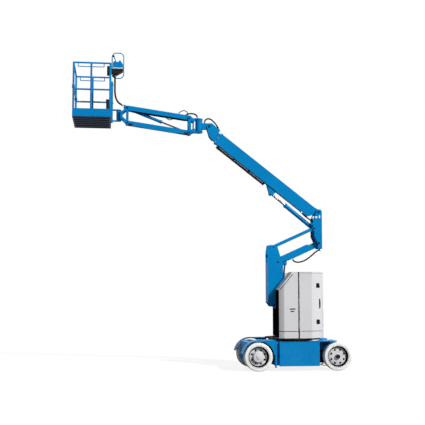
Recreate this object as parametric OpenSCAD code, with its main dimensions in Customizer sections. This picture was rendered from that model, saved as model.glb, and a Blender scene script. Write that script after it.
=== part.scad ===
// Articulating boom lift, drawn at rest in the pose of the photograph.
// Millimetres. Ground at z = 0, steered end at +X, platform at -X, near side at -Y.

/* [Wheels] */
// Radius of a tyre
tyre_r = 280; // [260:1:290]
// Width of a tyre
tyre_w = 178; // [150:1:185]
// Radius at which tyre and rim meet
rim_r = 222; // [212:1:230]
// Distance between the two axles
wheel_base = 1600; // [1580:1:1640]
// Width over the tyres
machine_w = 1190; // [1180:1:1220]
// Radius of the fixed drive spindle
drive_spindle_r = 40; // [34:1:44]
// Radius of the steered spindle
steer_spindle_r = 35; // [30:1:38]
// Radial play of a turning fit
play = 0.4; // [0.3:0.05:0.8]

/* [Chassis] */
// Half width of the main box
box_hw = 540; // [520:1:550]
// Drive end of the main box
box_x0 = -470; // [-480:1:-460]
// Steered end of the main box
box_x1 = 425; // [400:1:430]
// Underside of the main box
box_z0 = 110; // [100:1:140]
// Deck height
deck_z = 560; // [545:1:562]
// Half width of the neck between the driven wheels
neck_hw = 385; // [360:1:390]
// Drive end of the chassis
drive_x = -1020; // [-1070:1:-1000]
// Half width of the beam between the steered wheels
beam_hw = 190; // [170:1:195]
// Steered end of the beam
beam_x1 = 880; // [870:1:885]
// Top edge of the side panels
panel_z1 = 575; // [560:1:576]
// Bottom edge of the side panels
panel_z0 = 96; // [90:1:120]
// Half width over the side panels
panel_hw = 590; // [570:1:595]
// Gap between a driven tyre and its fender
fender_gap = 32; // [25:1:40]
// Thickness of the fenders
fender_t = 18; // [12:1:22]
// Gap between a steered tyre and the guard over it
guard_gap = 15; // [10:1:20]
// Radius of the tie-down eyes
eye_r = 20; // [15:1:22]

/* [Steering] */
// Distance of a king pin from the middle
king_y = 385; // [375:1:390]
// Radius of a king pin
king_r = 20; // [16:1:24]
// Length of a steering arm
steer_arm = 120; // [110:1:125]

/* [Turntable] */
// Outer radius of the slew ring
ring_r = 330; // [300:1:340]
// Underside of the turntable plate
base_z0 = 600; // [598:1:604]
// Top of the turntable plate
base_z1 = 640; // [636:1:644]
// Tail radius of the covers
tail_r = 640; // [630:1:650]
// Half width over the covers
cover_hw = 580; // [570:1:588]
// Half width of the slot between the covers
slot_hw = 210; // [205:1:216]
// Front edge of the covers
cover_x0 = -376; // [-386:1:-360]
// How much further back the far cover's front lies
front_step = 86; // [80:1:95]
// Height of the covers
cover_z1 = 1955; // [1930:1:1970]
// Wall of the covers and doors
cover_t = 14; // [10:1:16]
// Height of the seam above the skirt
skirt_z = 777; // [760:1:800]
// Place of the upright seam, where a door is hung
seam_x = 23; // [10:1:40]

/* [Riser] */
// Length of the riser arms and links
arm_len = 951; // [930:1:965]
// Slope of the riser arms at rest
riser_deg = 24.5; // [22:0.5:27]
// Place of the lower arm's base pin
base_pin_x = 459; // [450:1:465]
// Height of the lower arm's base pin
base_pin_z = 897; // [890:1:905]
// Height between the two arm pins of the mid pivot
mid_h = 875.6; // [865:0.1:885]
// Radius of the main pins
pin_r = 22; // [18:1:24]
// Half width of the riser arms
arm_hw = 80; // [74:1:81]
// Inside of the upper links
uplink_y = 84; // [84:1:86]
// Inside of the upper pivot's plates
head_y = 112; // [112:1:114]
// Inside of the mid pivot's plates
mid_y = 115; // [113:1:118]
// Inside of the turntable's uprights
upright_y = 134; // [134:1:136]
// Inside of the lower links
lowlink_y = 160; // [160:1:162]

/* [Boom] */
// Slope of the boom at rest
boom_deg = 37.8; // [36:0.1:40]
// Length of the boom tube from its pin
boom_len = 2585; // [2500:1:2600]
// Height of the boom tube above the line of its pin
tube_up = 32; // [28:1:36]
// Depth of the boom tube below the line of its pin
tube_down = 203; // [195:1:205]
// Half width of the boom tube
tube_hw = 75; // [70:1:76]
// Wall of the boom tube
tube_t = 14; // [12:1:16]
// Distance of the levelling pin from the boom's mouth
head_out = 287; // [270:1:300]
// Distance of the lift rod's pin along the boom
rod_along = 1012; // [1000:1:1020]
// Depth of the lift rod's pin below the boom's line
rod_down = 300; // [296:1:304]
// Reach of the rod's lugs along the boom beyond their pin
lug_reach = 195; // [185:1:205]
// Gap between the rod's lugs and the hose track
track_gap = 33; // [25:1:40]
// Pitch of the hose track's clips
clip_pitch = 400; // [380:1:420]

/* [Jib] */
// Length of the jib between its pins
jib_len = 1287; // [1270:1:1300]
// Slope of the jib at rest
jib_deg = 8; // [6:0.5:10]
// Height between the jib's two pins
jib_gap = 305; // [300:1:310]
// Half depth of the upper jib beam
jib_up_h = 47; // [44:1:48]
// Half depth of the lower jib beam
jib_low_h = 42; // [38:1:43]

/* [Platform] */
// Length of the platform along the jib
plat_l = 760; // [720:1:800]
// Width of the platform
plat_w = 1170; // [1100:1:1180]
// Height of the guard rail above the underside
plat_h = 1110; // [1080:1:1150]
// Radius of the rail tubes
rail_r = 17; // [15:1:19]
// Radius of the corner posts
post_r = 20; // [18:1:22]

/* [Hidden] */
head_along = boom_len + head_out;
track_along = rod_along + lug_reach + track_gap;
guard_z = max(panel_z1, 2 * tyre_r + guard_gap);
$fn = 48;

// Finishes
blue = [0.0, 0.42, 0.68];
grey = [0.82, 0.82, 0.82];
steel = [0.7, 0.71, 0.72];
white = [0.92, 0.92, 0.9];
black = [0.05, 0.05, 0.06];

// Places of the wheels
wheel_x = wheel_base / 2;
wheel_y = machine_w / 2 - tyre_w / 2;

// Pins of the riser, as [x, z]
t_a = [base_pin_x, base_pin_z];
m_a = t_a + arm_len * [-cos(riser_deg), sin(riser_deg)];
link_off = [100, 190];
t_l = t_a + link_off;
m_l = m_a + link_off;
m_b = m_a + [97.4, mid_h];
m_t = m_b + [-97, 303];
u_a = m_b + arm_len * [cos(riser_deg), sin(riser_deg)];
u_l = m_t + arm_len * [cos(riser_deg), sin(riser_deg)];
b_p = u_a + [-3.4, 640.6];
// Pins of the riser cylinder
c_1 = m_a + 200 * [cos(riser_deg), -sin(riser_deg)];
c_2 = m_b + 134 * [cos(riser_deg), sin(riser_deg)] - 102 * [-sin(riser_deg), cos(riser_deg)];
// Pin of the boom cylinder's rod and the levelling pin
function boom_at(s, n) = b_p + s * [-cos(boom_deg), sin(boom_deg)] + n * [sin(boom_deg), cos(boom_deg)];
p_1 = boom_at(rod_along, -rod_down);
h_p = boom_at(head_along, 0);
// Pins of the jib and the two upright axes at its ends
rot_x = h_p[0] - 215;
r_u = h_p + [-415, 160];
r_l = r_u - [0, jib_gap];
l_u = r_u + jib_len * [-cos(jib_deg), sin(jib_deg)];
l_l = l_u - [0, jib_gap];
turn_x = l_u[0] - 175.5;
turn_p = [turn_x, l_u[1] - jib_gap / 2];
guide_p = l_u + [-60, 35];
// Platform
plat_x1 = turn_x - 155;
plat_x0 = plat_x1 - plat_l;
plat_z0 = l_u[1] - 314;
plat_z1 = plat_z0 + plat_h;
plat_hw = plat_w / 2;
// The origin is the middle of the whole machine's length
x_min = plat_x0;
x_max = wheel_x + tyre_r;
shift_x = -(x_min + x_max) / 2;

module placed() translate([shift_x, 0, 0]) children();
module both() { children(); mirror([0, 1, 0]) children(); }
// A shape drawn in x and z, thick from y0 to y1
module prism(y0, y1) translate([0, y1, 0]) rotate([90, 0, 0]) linear_extrude(y1 - y0) children();
// A round bar along Y
module bar_y(p, r, y0, y1) translate([p[0], y0, p[1]]) rotate([-90, 0, 0]) cylinder(r = r, h = y1 - y0);
// A flat strip with round ends
module strip(p, q, r) {
  d = q - p;
  translate(p) circle(r);
  translate(q) circle(r);
  translate(p) rotate(atan2(d[1], d[0])) translate([0, -r + 0.3]) square([norm(d), 2 * r - 0.6]);
}
module block(a, b) translate(a) cube(b - a);
// A frame at a pin with its -X axis turned up by an angle
module at_pin(p, deg) translate([p[0], 0, p[1]]) rotate([0, deg, 0]) children();
// A frame at a pin with its +Z axis pointing at another pin
module toward(p, q) translate([p[0], 0, p[1]]) rotate([0, atan2(q[0] - p[0], q[1] - p[1]), 0]) children();

module chassis_frame() color(blue) placed() difference() {
  union() {
    block([box_x0, -box_hw, box_z0], [box_x1, box_hw, deck_z]);
    block([drive_x, -neck_hw, 150], [box_x0 + 10, neck_hw, deck_z]);
    block([box_x1 - 10, -beam_hw, 390], [beam_x1, beam_hw, 545]);
    both() prism(150, 172) polygon([[drive_x + 5, 215], [drive_x - 30, 225], [drive_x - 58, 250],
      [drive_x - 58, 290], [drive_x - 30, 315], [drive_x + 5, 325]]);
    both() prism(110, 132) polygon([[beam_x1 - 5, 400], [beam_x1 + 30, 410], [beam_x1 + 58, 432],
      [beam_x1 + 58, 468], [beam_x1 + 30, 490], [beam_x1 - 5, 500]]);
  }
  bar_y([drive_x - 30, 270], eye_r, -200, 200);
  bar_y([beam_x1 + 30, 450], eye_r, -200, 200);
}

module side_panels() color(blue) placed() both() {
  prism(box_hw, panel_hw) translate([-384, panel_z0]) square([box_x1 + 384, panel_z1 - panel_z0]);
  prism(box_hw, panel_hw) translate([box_x0, 68]) square([28, 516]);
}

module fenders() color(blue) placed() both() {
  prism(neck_hw, panel_hw) difference() {
    union() {
      translate([-wheel_x, tyre_r]) intersection() {
        circle(tyre_r + fender_gap + fender_t);
        translate([-400, 60]) square([400, 400]);
      }
      translate([-wheel_x, tyre_r + 40]) square([wheel_x + box_x0, fender_gap + fender_t + tyre_r - 40]);
    }
    translate([-wheel_x, tyre_r]) circle(tyre_r + fender_gap);
  }
  difference() {
    union() {
      block([200, beam_hw, guard_z], [780, panel_hw, guard_z + 15]);
      block([620, beam_hw, 480], [780, beam_hw + 14, guard_z + 5]);
    }
    translate([0, 0, 300]) cylinder(r = 615, h = 400, $fn = 96);
  }
}

module drive_axle() color(black) placed() both() {
  bar_y([-wheel_x, tyre_r], 95, neck_hw, wheel_y - 81);
  bar_y([-wheel_x, tyre_r], drive_spindle_r, wheel_y - 82, wheel_y + 29);
}

module steer_axle() color(black) placed() {
  block([box_x1, -beam_hw, 128], [beam_x1 - 40, beam_hw, 390]);
  both() steer_fork();
}
module steer_fork() {
  block([wheel_x - 50, beam_hw, 235], [wheel_x + 28, king_y - 62, 325]);
  block([wheel_x - 28, king_y - 85, 195], [wheel_x + 28, king_y - 60, 365]);
  for (z = [195, 345]) {
    block([wheel_x - 40, king_y - 62, z], [wheel_x + 40, king_y, z + 20]);
    translate([wheel_x, king_y, z]) cylinder(r = 40, h = 20);
  }
  translate([wheel_x, king_y, 195]) cylinder(r = king_r, h = 170);
}

module knuckle(side) scale([1, side, 1]) difference() {
  union() {
    translate([wheel_x, king_y, 221]) cylinder(r = 44, h = 118);
    bar_y([wheel_x, tyre_r], steer_spindle_r, king_y + 25, wheel_y + 39);
    translate([0, 0, 298]) linear_extrude(16)
      strip([wheel_x, king_y], [wheel_x + steer_arm, king_y], 22);
  }
  translate([wheel_x, king_y, 180]) cylinder(r = king_r + play, h = 200);
}
module knuckle_near() color(black) placed() knuckle(-1);
module knuckle_far() color(black) placed() knuckle(1);

module tie_rod() color(steel) placed() {
  bar_y([wheel_x + steer_arm, 274], 14, -king_y, king_y);
  both() translate([wheel_x + steer_arm, king_y, 258]) cylinder(r = 24, h = 34);
}

// A tyre about its own axis, its outer side toward +Z
module tyre() rotate_extrude($fn = 72) polygon([
  [rim_r, -tyre_w / 2], [tyre_r - 16, -tyre_w / 2], [tyre_r - 4, -tyre_w / 2 + 6], [tyre_r, -tyre_w / 2 + 20],
  [tyre_r, tyre_w / 2 - 20], [tyre_r - 4, tyre_w / 2 - 6], [tyre_r - 16, tyre_w / 2], [rim_r, tyre_w / 2]]);
module rim_drive() rotate_extrude($fn = 60) polygon([
  [drive_spindle_r + play, -40], [100, -40], [100, 2], [rim_r - 17, 2], [rim_r - 17, -82], [rim_r, -82],
  [rim_r, 82], [rim_r - 17, 82], [rim_r - 17, 18], [118, 18], [104, 60], [96, 66], [0, 66], [0, 36],
  [drive_spindle_r + play, 36]]);
module rim_steer() rotate_extrude($fn = 60) polygon([
  [steer_spindle_r + play, -52], [70, -52], [70, 10], [110, 22], [rim_r - 17, 2], [rim_r - 17, -82],
  [rim_r, -82], [rim_r, 82], [rim_r - 17, 82], [rim_r - 17, 18], [112, 40], [52, 34], [48, 62], [40, 68],
  [0, 68], [0, 46], [steer_spindle_r + play, 46]]);
module on_wheel(x, side) placed() translate([x, side * wheel_y, tyre_r]) rotate([-90 * side, 0, 0]) children();
module tyre_drive_near() color(white) on_wheel(-wheel_x, -1) tyre();
module tyre_drive_far() color(white) on_wheel(-wheel_x, 1) tyre();
module tyre_steer_near() color(white) on_wheel(wheel_x, -1) tyre();
module tyre_steer_far() color(white) on_wheel(wheel_x, 1) tyre();
module rim_drive_near() color(steel) on_wheel(-wheel_x, -1) rim_drive();
module rim_drive_far() color(steel) on_wheel(-wheel_x, 1) rim_drive();
module rim_steer_near() color(steel) on_wheel(wheel_x, -1) rim_steer();
module rim_steer_far() color(steel) on_wheel(wheel_x, 1) rim_steer();

module slew_ring() color(black) placed() translate([0, 0, deck_z]) difference() {
  cylinder(r = ring_r, h = base_z0 - 4 - deck_z, $fn = 96);
  translate([0, 0, -1]) cylinder(r = ring_r - 80, h = 60, $fn = 96);
}

module turntable_frame() color(black) placed() {
  translate([0, 0, deck_z + 6]) cylinder(r = ring_r - 85, h = base_z0 - deck_z - 5, $fn = 96);
  difference() {
    translate([0, 0, base_z0]) linear_extrude(base_z1 - base_z0) intersection() {
      circle(570, $fn = 96);
      square([1200, 2 * cover_hw - 10], center = true);
    }
    block([-600, -190, base_z0 - 1], [-150, 190, base_z1 + 1]);
  }
  both() {
    prism(upright_y, upright_y + 20) polygon([[370, base_z1 - 2], [606, base_z1 - 2], [606, 1100],
      [580, t_l[1] + 42],
      [530, t_l[1] + 42], [410, 930], [390, 860]]);
    bar_y(t_a, 38, 90, upright_y + 2);
    bar_y(t_l, 18, upright_y + 18, lowlink_y + 26);
  }
  bar_y(t_a, pin_r, -upright_y - 28, upright_y + 28);
  block([590, -upright_y - 5, base_z1 - 2], [606, upright_y + 5, 840]);
}

// Plan of one cover with its front at x0, taken in by d from its outer faces
module plan(d, x0) intersection() {
  circle(tail_r - d, $fn = 96);
  translate([x0 + d, slot_hw + d]) square([1200, cover_hw - slot_hw - 2 * d]);
}
// The room taken by the sloped front corner, taken in by d
module corner(d, x0) prism(0, 700) polygon([[x0 - 20 - d, cover_z1 - 355 - d], [x0 + 262 + d, cover_z1 + 2],
  [x0 + 262 + d, cover_z1 + 60], [x0 - 80, cover_z1 + 60], [x0 - 80, cover_z1 - 355 - d]]);
module shell(d, z0, z1, x0) difference() {
  translate([0, 0, z0]) linear_extrude(z1 - z0) plan(d, x0);
  corner(d, x0);
}
module cover(x0) difference() {
  shell(0, base_z1, cover_z1, x0);
  shell(cover_t, base_z1 - 1, cover_z1 - cover_t, x0);
  block([seam_x - 7, 300, skirt_z + 5], [900, 700, cover_z1 - 20]);
}
// A door with the three knuckles of its hinge
module door() {
  intersection() {
    difference() {
      translate([0, 0, skirt_z + 10]) linear_extrude(cover_z1 - 35 - skirt_z) plan(0, cover_x0);
      translate([0, 0, skirt_z]) linear_extrude(cover_z1) plan(cover_t, cover_x0);
    }
    block([seam_x + 5, 305, 600], [900, 700, 2100]);
  }
  for (z = [skirt_z + 90, 1300, cover_z1 - 230]) translate([seam_x + 7, cover_hw - 8, z]) cylinder(r = 9, h = 120);
}
module cover_near() color(grey) placed() mirror([0, 1, 0]) cover(cover_x0);
module cover_far() color(grey) placed() cover(cover_x0 + front_step);
module door_near() color(grey) placed() mirror([0, 1, 0]) door();
module door_far() color(grey) placed() door();

module counterweight() color(black) placed() both() translate([0, 0, base_z1]) linear_extrude(480) intersection() {
  circle(tail_r - 36, $fn = 96);
  translate([260, slot_hw + 26]) square([400, cover_hw - slot_hw - 62]);
}
module power_unit() color(black) placed() {
  block([cover_x0 + 90, -cover_hw + 36, base_z1], [220, -slot_hw - 26, 1000]);
  block([cover_x0 + front_step + 60, slot_hw + 26, base_z1], [220, cover_hw - 36, 1000]);
}

module lower_arm() color(blue) placed() difference() {
  union() {
    both() at_pin(t_a, riser_deg) prism(46, arm_hw + 5) strip([-arm_len, 0], [0, 0], 38);
    at_pin(t_a, riser_deg) block([-500, -50, -30], [-60, 50, 30]);
    bar_y(t_a, 38, -arm_hw - 5, arm_hw + 5);
    bar_y(m_a, 36, -arm_hw - 5, arm_hw + 5);
    bar_y(c_1, 15, -arm_hw - 5, arm_hw + 5);
  }
  bar_y(t_a, pin_r + play, -200, 200);
  bar_y(m_a, pin_r + play, -200, 200);
}

module lower_link() color(blue) placed() both() difference() {
  prism(lowlink_y, lowlink_y + 20) strip(t_l, m_l, 32);
  bar_y(t_l, 18 + play, 100, 200);
  bar_y(m_l, 18 + play, 100, 200);
}

module mid_pivot() color(blue) placed() {
  both() {
    prism(mid_y, mid_y + 20) polygon([[m_a[0] - 94, m_t[1] + 41], [m_t[0] + 76, m_t[1] + 41],
      [m_b[0] + 28, m_b[1] + 174],
      [m_b[0] + 102, m_b[1] - 46], [m_b[0] + 102, m_a[1] + 269], [m_a[0] + 76, m_a[1] - 37],
      [m_a[0] - 53, m_a[1] - 37], [m_a[0] - 117, m_a[1] + 49], [m_a[0] - 117, m_t[1] - 102]]);
    bar_y(m_a, 34, 90, mid_y + 2);
    bar_y(m_b, 32, arm_hw + 5, mid_y + 2);
    bar_y(m_t, 18, uplink_y - 2, mid_y + 5);
    bar_y(m_l, 18, mid_y + 15, lowlink_y + 26);
  }
  bar_y(m_a, pin_r, -mid_y - 28, mid_y + 28);
  bar_y(m_b, 20, -mid_y - 28, mid_y + 28);
  block([m_a[0] - 117, -mid_y - 5, m_a[1] + 55], [m_a[0] - 102, mid_y + 5, m_b[1] - 20]);
}

module upper_arm() color(blue) placed() difference() {
  union() {
    at_pin(m_b, -riser_deg) prism(-arm_hw, arm_hw) {
      polygon([[0, -32], [40, -45], [190, -45], [225, -70], [800, -70], [900, -45], [arm_len, -45],
        [arm_len, 45], [730, 45], [722, 72], [122, 72], [96, 30], [0, 30]]);
      circle(30);
      translate([arm_len, 0]) circle(45);
    }
    both() {
      at_pin(m_b, -riser_deg) prism(36, 56) {
        translate([134, -102]) circle(34);
        polygon([[84, -40], [100, -102], [168, -102], [200, -40]]);
      }
      bar_y(c_2, 22, 55, 66);
    }
  }
  bar_y(m_b, 20 + play, -200, 200);
  bar_y(u_a, pin_r + play, -200, 200);
}

module upper_link() color(blue) placed() both() difference() {
  prism(uplink_y, uplink_y + 22) strip(m_t, u_l, 31);
  bar_y(m_t, 18 + play, 60, 200);
  bar_y(u_l, 20 + play, 60, 200);
}

module upper_pivot() color(blue) placed() {
  both() {
    prism(head_y, head_y + 16) {
      difference() {
        polygon([[u_a[0] - 56, u_a[1] - 20], [u_a[0] - 20, u_a[1] - 121], [u_a[0] + 63, u_a[1] - 121],
          [u_a[0] + 63, b_p[1] + 20], [b_p[0] + 40, b_p[1] + 52], [b_p[0] - 30, b_p[1] + 52],
          [u_l[0] - 26, b_p[1] - 150], [u_l[0] - 26, u_l[1] - 170]]);
        translate(u_a + [-74, 512]) square([102, 60]);
      }
      translate(u_l) circle(42);
    }
    bar_y(u_a, 40, arm_hw + 4, head_y + 2);
  }
  bar_y(u_a, pin_r, -head_y - 24, head_y + 24);
  bar_y(u_l, 20, -head_y - 24, head_y + 24);
  bar_y(b_p, 26, -head_y - 24, head_y + 24);
  block([u_a[0] + 47, -head_y - 5, u_a[1] - 121], [u_a[0] + 63, head_y + 5, b_p[1] - 120]);
}

// A cylinder's barrel standing on its base pin, its rod end toward +Z
module barrel(r, rod_r, w, pin, s0, s1) difference() {
  union() {
    bar_y([0, 0], 34, -w, w);
    cylinder(r = 22, h = s0 + 5);
    translate([0, 0, s0]) cylinder(r = r, h = s1 - s0);
    translate([0, 0, s1 - 45]) cylinder(r = r + 5, h = 45);
  }
  bar_y([0, 0], pin + play, -w - 1, w + 1);
  translate([0, 0, s0 + 15]) cylinder(r = rod_r + play, h = s1);
}
// A cylinder's rod from s0 to its eye at s1
module ram(r, s0, s1) {
  translate([0, 0, s0]) cylinder(r = r, h = s1 - s0);
  bar_y([0, s1], 28, -28, 28);
}
module riser_barrel() color(black) placed() toward(c_1, c_2) barrel(36, 18, 42, 15, 60, 630);
module riser_rod() color(steel) placed() toward(c_1, c_2) ram(18, 325, norm(c_2 - c_1));

module boom_tube() color(blue) placed() at_pin(b_p, boom_deg) difference() {
  union() {
    prism(-tube_hw, tube_hw) {
      translate([-boom_len, -tube_down]) square([boom_len - 120, tube_up + tube_down]);
      polygon([[0, -50], [0, 50], [-122, tube_up], [-122, -tube_down]]);
      circle(50);
    }
    prism(-tube_hw - 8, tube_hw + 8)
      translate([-boom_len, -tube_down - 8]) square([40, tube_up + tube_down + 16]);
    bar_y([0, 0], 50, -head_y + 6, head_y - 6);
    both() prism(34, 54) {
      polygon([[-rod_along + 80, -tube_down + 5], [-rod_along - lug_reach, -tube_down + 5],
        [-rod_along - 42, -rod_down - 14], [-rod_along + 42, -rod_down - 14]]);
      translate([-rod_along, -rod_down]) circle(44);
    }
    both() bar_y([-rod_along, -rod_down], 26, 53, 64);
  }
  block([-boom_len - 1, -tube_hw + tube_t, -tube_down + tube_t], [-180, tube_hw - tube_t, tube_up - tube_t]);
  bar_y([0, 0], 26 + play, -200, 200);
}

module hose_track() color(black) placed() at_pin(b_p, boom_deg) {
  block([-boom_len + 85, -40, -tube_down - 52], [-track_along, 40, -tube_down - 26]);
  for (s = [track_along : clip_pitch : boom_len - 145])
    block([-s - 34, -44, -tube_down - 56], [-s, 44, -tube_down]);
}

module boom_extension() color(blue) placed() at_pin(b_p, boom_deg) {
  neck = boom_len + 115;
  difference() {
    block([-neck, -tube_hw + tube_t + 5, -tube_down + tube_t + 5],
      [-neck + 2000, tube_hw - tube_t - 5, tube_up - tube_t - 5]);
    block([-neck + 40, -tube_hw + tube_t + 17, -tube_down + tube_t + 17],
      [-neck + 2010, tube_hw - tube_t - 17, tube_up - tube_t - 17]);
  }
  both() prism(66, 82) polygon([[-neck + 60, 66], [-head_along + 8, 78], [-head_along - 52, 34],
    [-head_along - 52, -40], [-neck - 40, -172], [-neck + 60, -192]]);
  block([-neck + 10, -70, -190], [-neck + 60, 70, 64]);
  bar_y([-head_along, 0], pin_r, -98, 98);
}

module boom_barrel() color(black) placed() toward(u_l, p_1) barrel(43, 22, 44, 20, 52, 775);
module boom_rod() color(steel) placed() toward(u_l, p_1) ram(22, 290, norm(p_1 - u_l));

module jib_base() color(blue) placed() difference() {
  union() {
    bar_y(h_p, 45, -60, 60);
    block([rot_x, -60, h_p[1] - 60], [h_p[0], 60, h_p[1] + 60]);
    translate([rot_x, 0, h_p[1] - 115]) cylinder(r = 75, h = 250);
  }
  bar_y(h_p, pin_r + play, -200, 200);
}

module jib_rotator() color(blue) placed() {
  for (z = [h_p[1] - 137, h_p[1] + 141]) {
    translate([rot_x, 0, z]) cylinder(r = 80, h = 16);
    block([rot_x - 120, -80, z], [rot_x, 80, z + 16]);
  }
  block([rot_x - 125, -97, h_p[1] - 133], [rot_x - 110, 97, h_p[1] + 153]);
  both() {
    prism(86, 100) {
      strip(r_u, r_l, 30);
      strip(r_u, [rot_x - 118, h_p[1] + 110], 34);
      strip(r_l, [rot_x - 118, h_p[1] - 95], 34);
      translate(r_u) circle(44);
      translate(r_l) circle(44);
    }
    bar_y(r_l, 18, 42, 110);
  }
  bar_y(r_u, 20, -110, 110);
}

module jib_upper_beam() color(blue) placed() difference() {
  union() {
    both() prism(68, 80) strip(l_u, r_u, jib_up_h);
    at_pin(r_u, jib_deg) block([-jib_len + 40, -80, jib_up_h - 14], [-40, 80, jib_up_h]);
    bar_y(r_u, 36, -80, 80);
  }
  bar_y(r_u, 20 + play, -200, 200);
  bar_y(l_u, 20 + play, -200, 200);
}

module jib_lower_beam() color(blue) placed() difference() {
  union() {
    both() prism(45, 75) strip(l_l, r_l, jib_low_h);
    at_pin(r_l, jib_deg) block([-1150, -50, -jib_low_h], [-950, 50, -jib_low_h + 14]);
  }
  bar_y(r_l, 18 + play, -200, 200);
  bar_y(l_l, 18 + play, -200, 200);
}

module jib_end_bracket() color(blue) placed() {
  both() {
    prism(86, 100) {
      strip(l_u, l_l, 26);
      strip(l_u, turn_p + [68, 54], 24);
      strip(l_l, turn_p + [68, -54], 24);
      strip(l_u, guide_p, 20);
      translate(l_u) circle(40);
      translate(l_l) circle(40);
    }
    bar_y(l_l, 18, 42, 110);
  }
  bar_y(l_u, 20, -110, 110);
  bar_y(guide_p, 10, -95, 95);
  block([turn_x + 30, -97, turn_p[1] - 84], [turn_x + 82, 97, turn_p[1] + 84]);
  difference() {
    translate([turn_x, 0, turn_p[1] - 100]) cylinder(r = 48, h = 200);
    translate([turn_x, 0, turn_p[1] - 120]) cylinder(r = 18 + play, h = 240);
  }
}

module jib_barrel() color(black) placed() toward(l_u, r_l) barrel(32, 17, 40, 20, 52, 760);
module jib_rod() color(steel) placed() toward(l_u, r_l) ram(17, 380, norm(r_l - l_u));

module platform_mount() color(blue) placed() {
  for (z = [turn_p[1] - 120, turn_p[1] + 106]) {
    translate([turn_x, 0, z]) cylinder(r = 52, h = 14);
    block([plat_x1 + 20, -52, z], [turn_x, 52, z + 14]);
  }
  translate([turn_x, 0, turn_p[1] - 110]) cylinder(r = 18, h = 220);
  block([plat_x1, -62, plat_z0 + 16], [plat_x1 + 36, 62, plat_z0 + 855]);
}

module platform_floor() color(black) placed()
  block([plat_x0 + 9, -plat_hw + 9, plat_z0 + 14], [plat_x1 - 9, plat_hw - 9, plat_z0 + 40]);
// Edge frame and bearers under the floor plate
module floor_bearers() color(steel) placed() {
  difference() {
    block([plat_x0, -plat_hw, plat_z0], [plat_x1, plat_hw, plat_z0 + 14]);
    block([plat_x0 + 34, -plat_hw + 34, plat_z0 - 1], [plat_x1 - 34, plat_hw - 34, plat_z0 + 15]);
  }
  for (j = [1:5]) block([plat_x0 + 30, -plat_hw + j * plat_w / 6 - 24, plat_z0],
    [plat_x1 - 30, -plat_hw + j * plat_w / 6 + 24, plat_z0 + 14]);
}

// Rails: a closed loop of tube at height z
module loop(z, r) {
  x0 = plat_x0 + post_r;
  x1 = plat_x1 - post_r;
  y = plat_hw - post_r;
  both() translate([x0, y, z]) rotate([0, 90, 0]) cylinder(r = r, h = x1 - x0);
  for (x = [x0, x1]) bar_y([x, z], r, -y, y);
  for (x = [x0, x1]) both() translate([x, y, z]) sphere(r);
}
module platform_rails() color(blue) placed() {
  x0 = plat_x0 + post_r;
  x1 = plat_x1 - post_r;
  y = plat_hw - post_r;
  top = plat_z1 - rail_r;
  mid = plat_z0 + 558;
  loop(top, rail_r);
  both() translate([x0, y, mid]) rotate([0, 90, 0]) cylinder(r = rail_r, h = x1 - x0);
  bar_y([x1, mid], rail_r, -y, y);
  for (x = [x0, (x0 + x1) / 2 - 14, x1]) both()
    translate([x, y, plat_z0 + 40]) cylinder(r = post_r, h = top - plat_z0 - 40);
  both() {
    translate([x0 + 85, y, top - 78]) rotate([0, 90, 0]) cylinder(r = 9, h = x1 - x0 - 210);
    for (x = [x0 + 85, x1 - 125]) translate([x, y, top - 78]) cylinder(r = 9, h = 78);
  }
  both() block([plat_x0, plat_hw - 8, plat_z0 + 14], [plat_x1, plat_hw, plat_z0 + 171]);
  for (x = [plat_x0, plat_x1 - 8]) block([x, -plat_hw, plat_z0 + 14], [x + 8, plat_hw, plat_z0 + 171]);
}
module entry_rail() color(blue) placed() {
  x0 = plat_x0 + post_r;
  y = plat_hw - post_r;
  z = plat_z0 + 558 + rail_r + 36;
  difference() {
    union() {
      bar_y([x0, z], 14, -y + 24, y - 24);
      both() translate([x0, y, z - 30]) cylinder(r = 30, h = 60);
    }
    both() translate([x0, y, z - 40]) cylinder(r = post_r + 1, h = 80);
  }
}
// A closed hoop of tube round a rectangle with round corners
module hoop(x0, x1, z0, z1, c, r) {
  for (x = [x0, x1]) translate([x, 0, z0 + c]) cylinder(r = r, h = z1 - z0 - 2 * c);
  for (z = [z0, z1]) translate([x0 + c, 0, z]) rotate([0, 90, 0]) cylinder(r = r, h = x1 - x0 - 2 * c);
  for (q = [[x1 - c, z1 - c, 0], [x0 + c, z1 - c, 90], [x0 + c, z0 + c, 180], [x1 - c, z0 + c, 270]])
    translate([q[0], 0, q[1]]) rotate([90, 0, 0]) rotate([0, 0, q[2]])
      rotate_extrude(angle = 90) translate([c, 0]) circle(r, $fn = 24);
}
module control_box() color(blue) placed() {
  x = plat_x1 + 10;
  z = plat_z1;
  hoop(x, x + 238, z - 172, z + 358, 90, 10);
  prism(-150, 150) polygon([[x + 14, z - 10], [x + 224, z - 10], [x + 224, z + 80], [x + 160, z + 176],
    [x + 120, z + 130],
    [x + 40, z + 150], [x + 14, z + 110]]);
  prism(-140, 140) polygon([[x + 18, z - 11], [x + 220, z - 11], [x + 60, z - 110], [x + 18, z - 120]]);
  block([plat_x1 - 3, -110, z - 60], [x + 20, 110, z - 12]);
}

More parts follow.
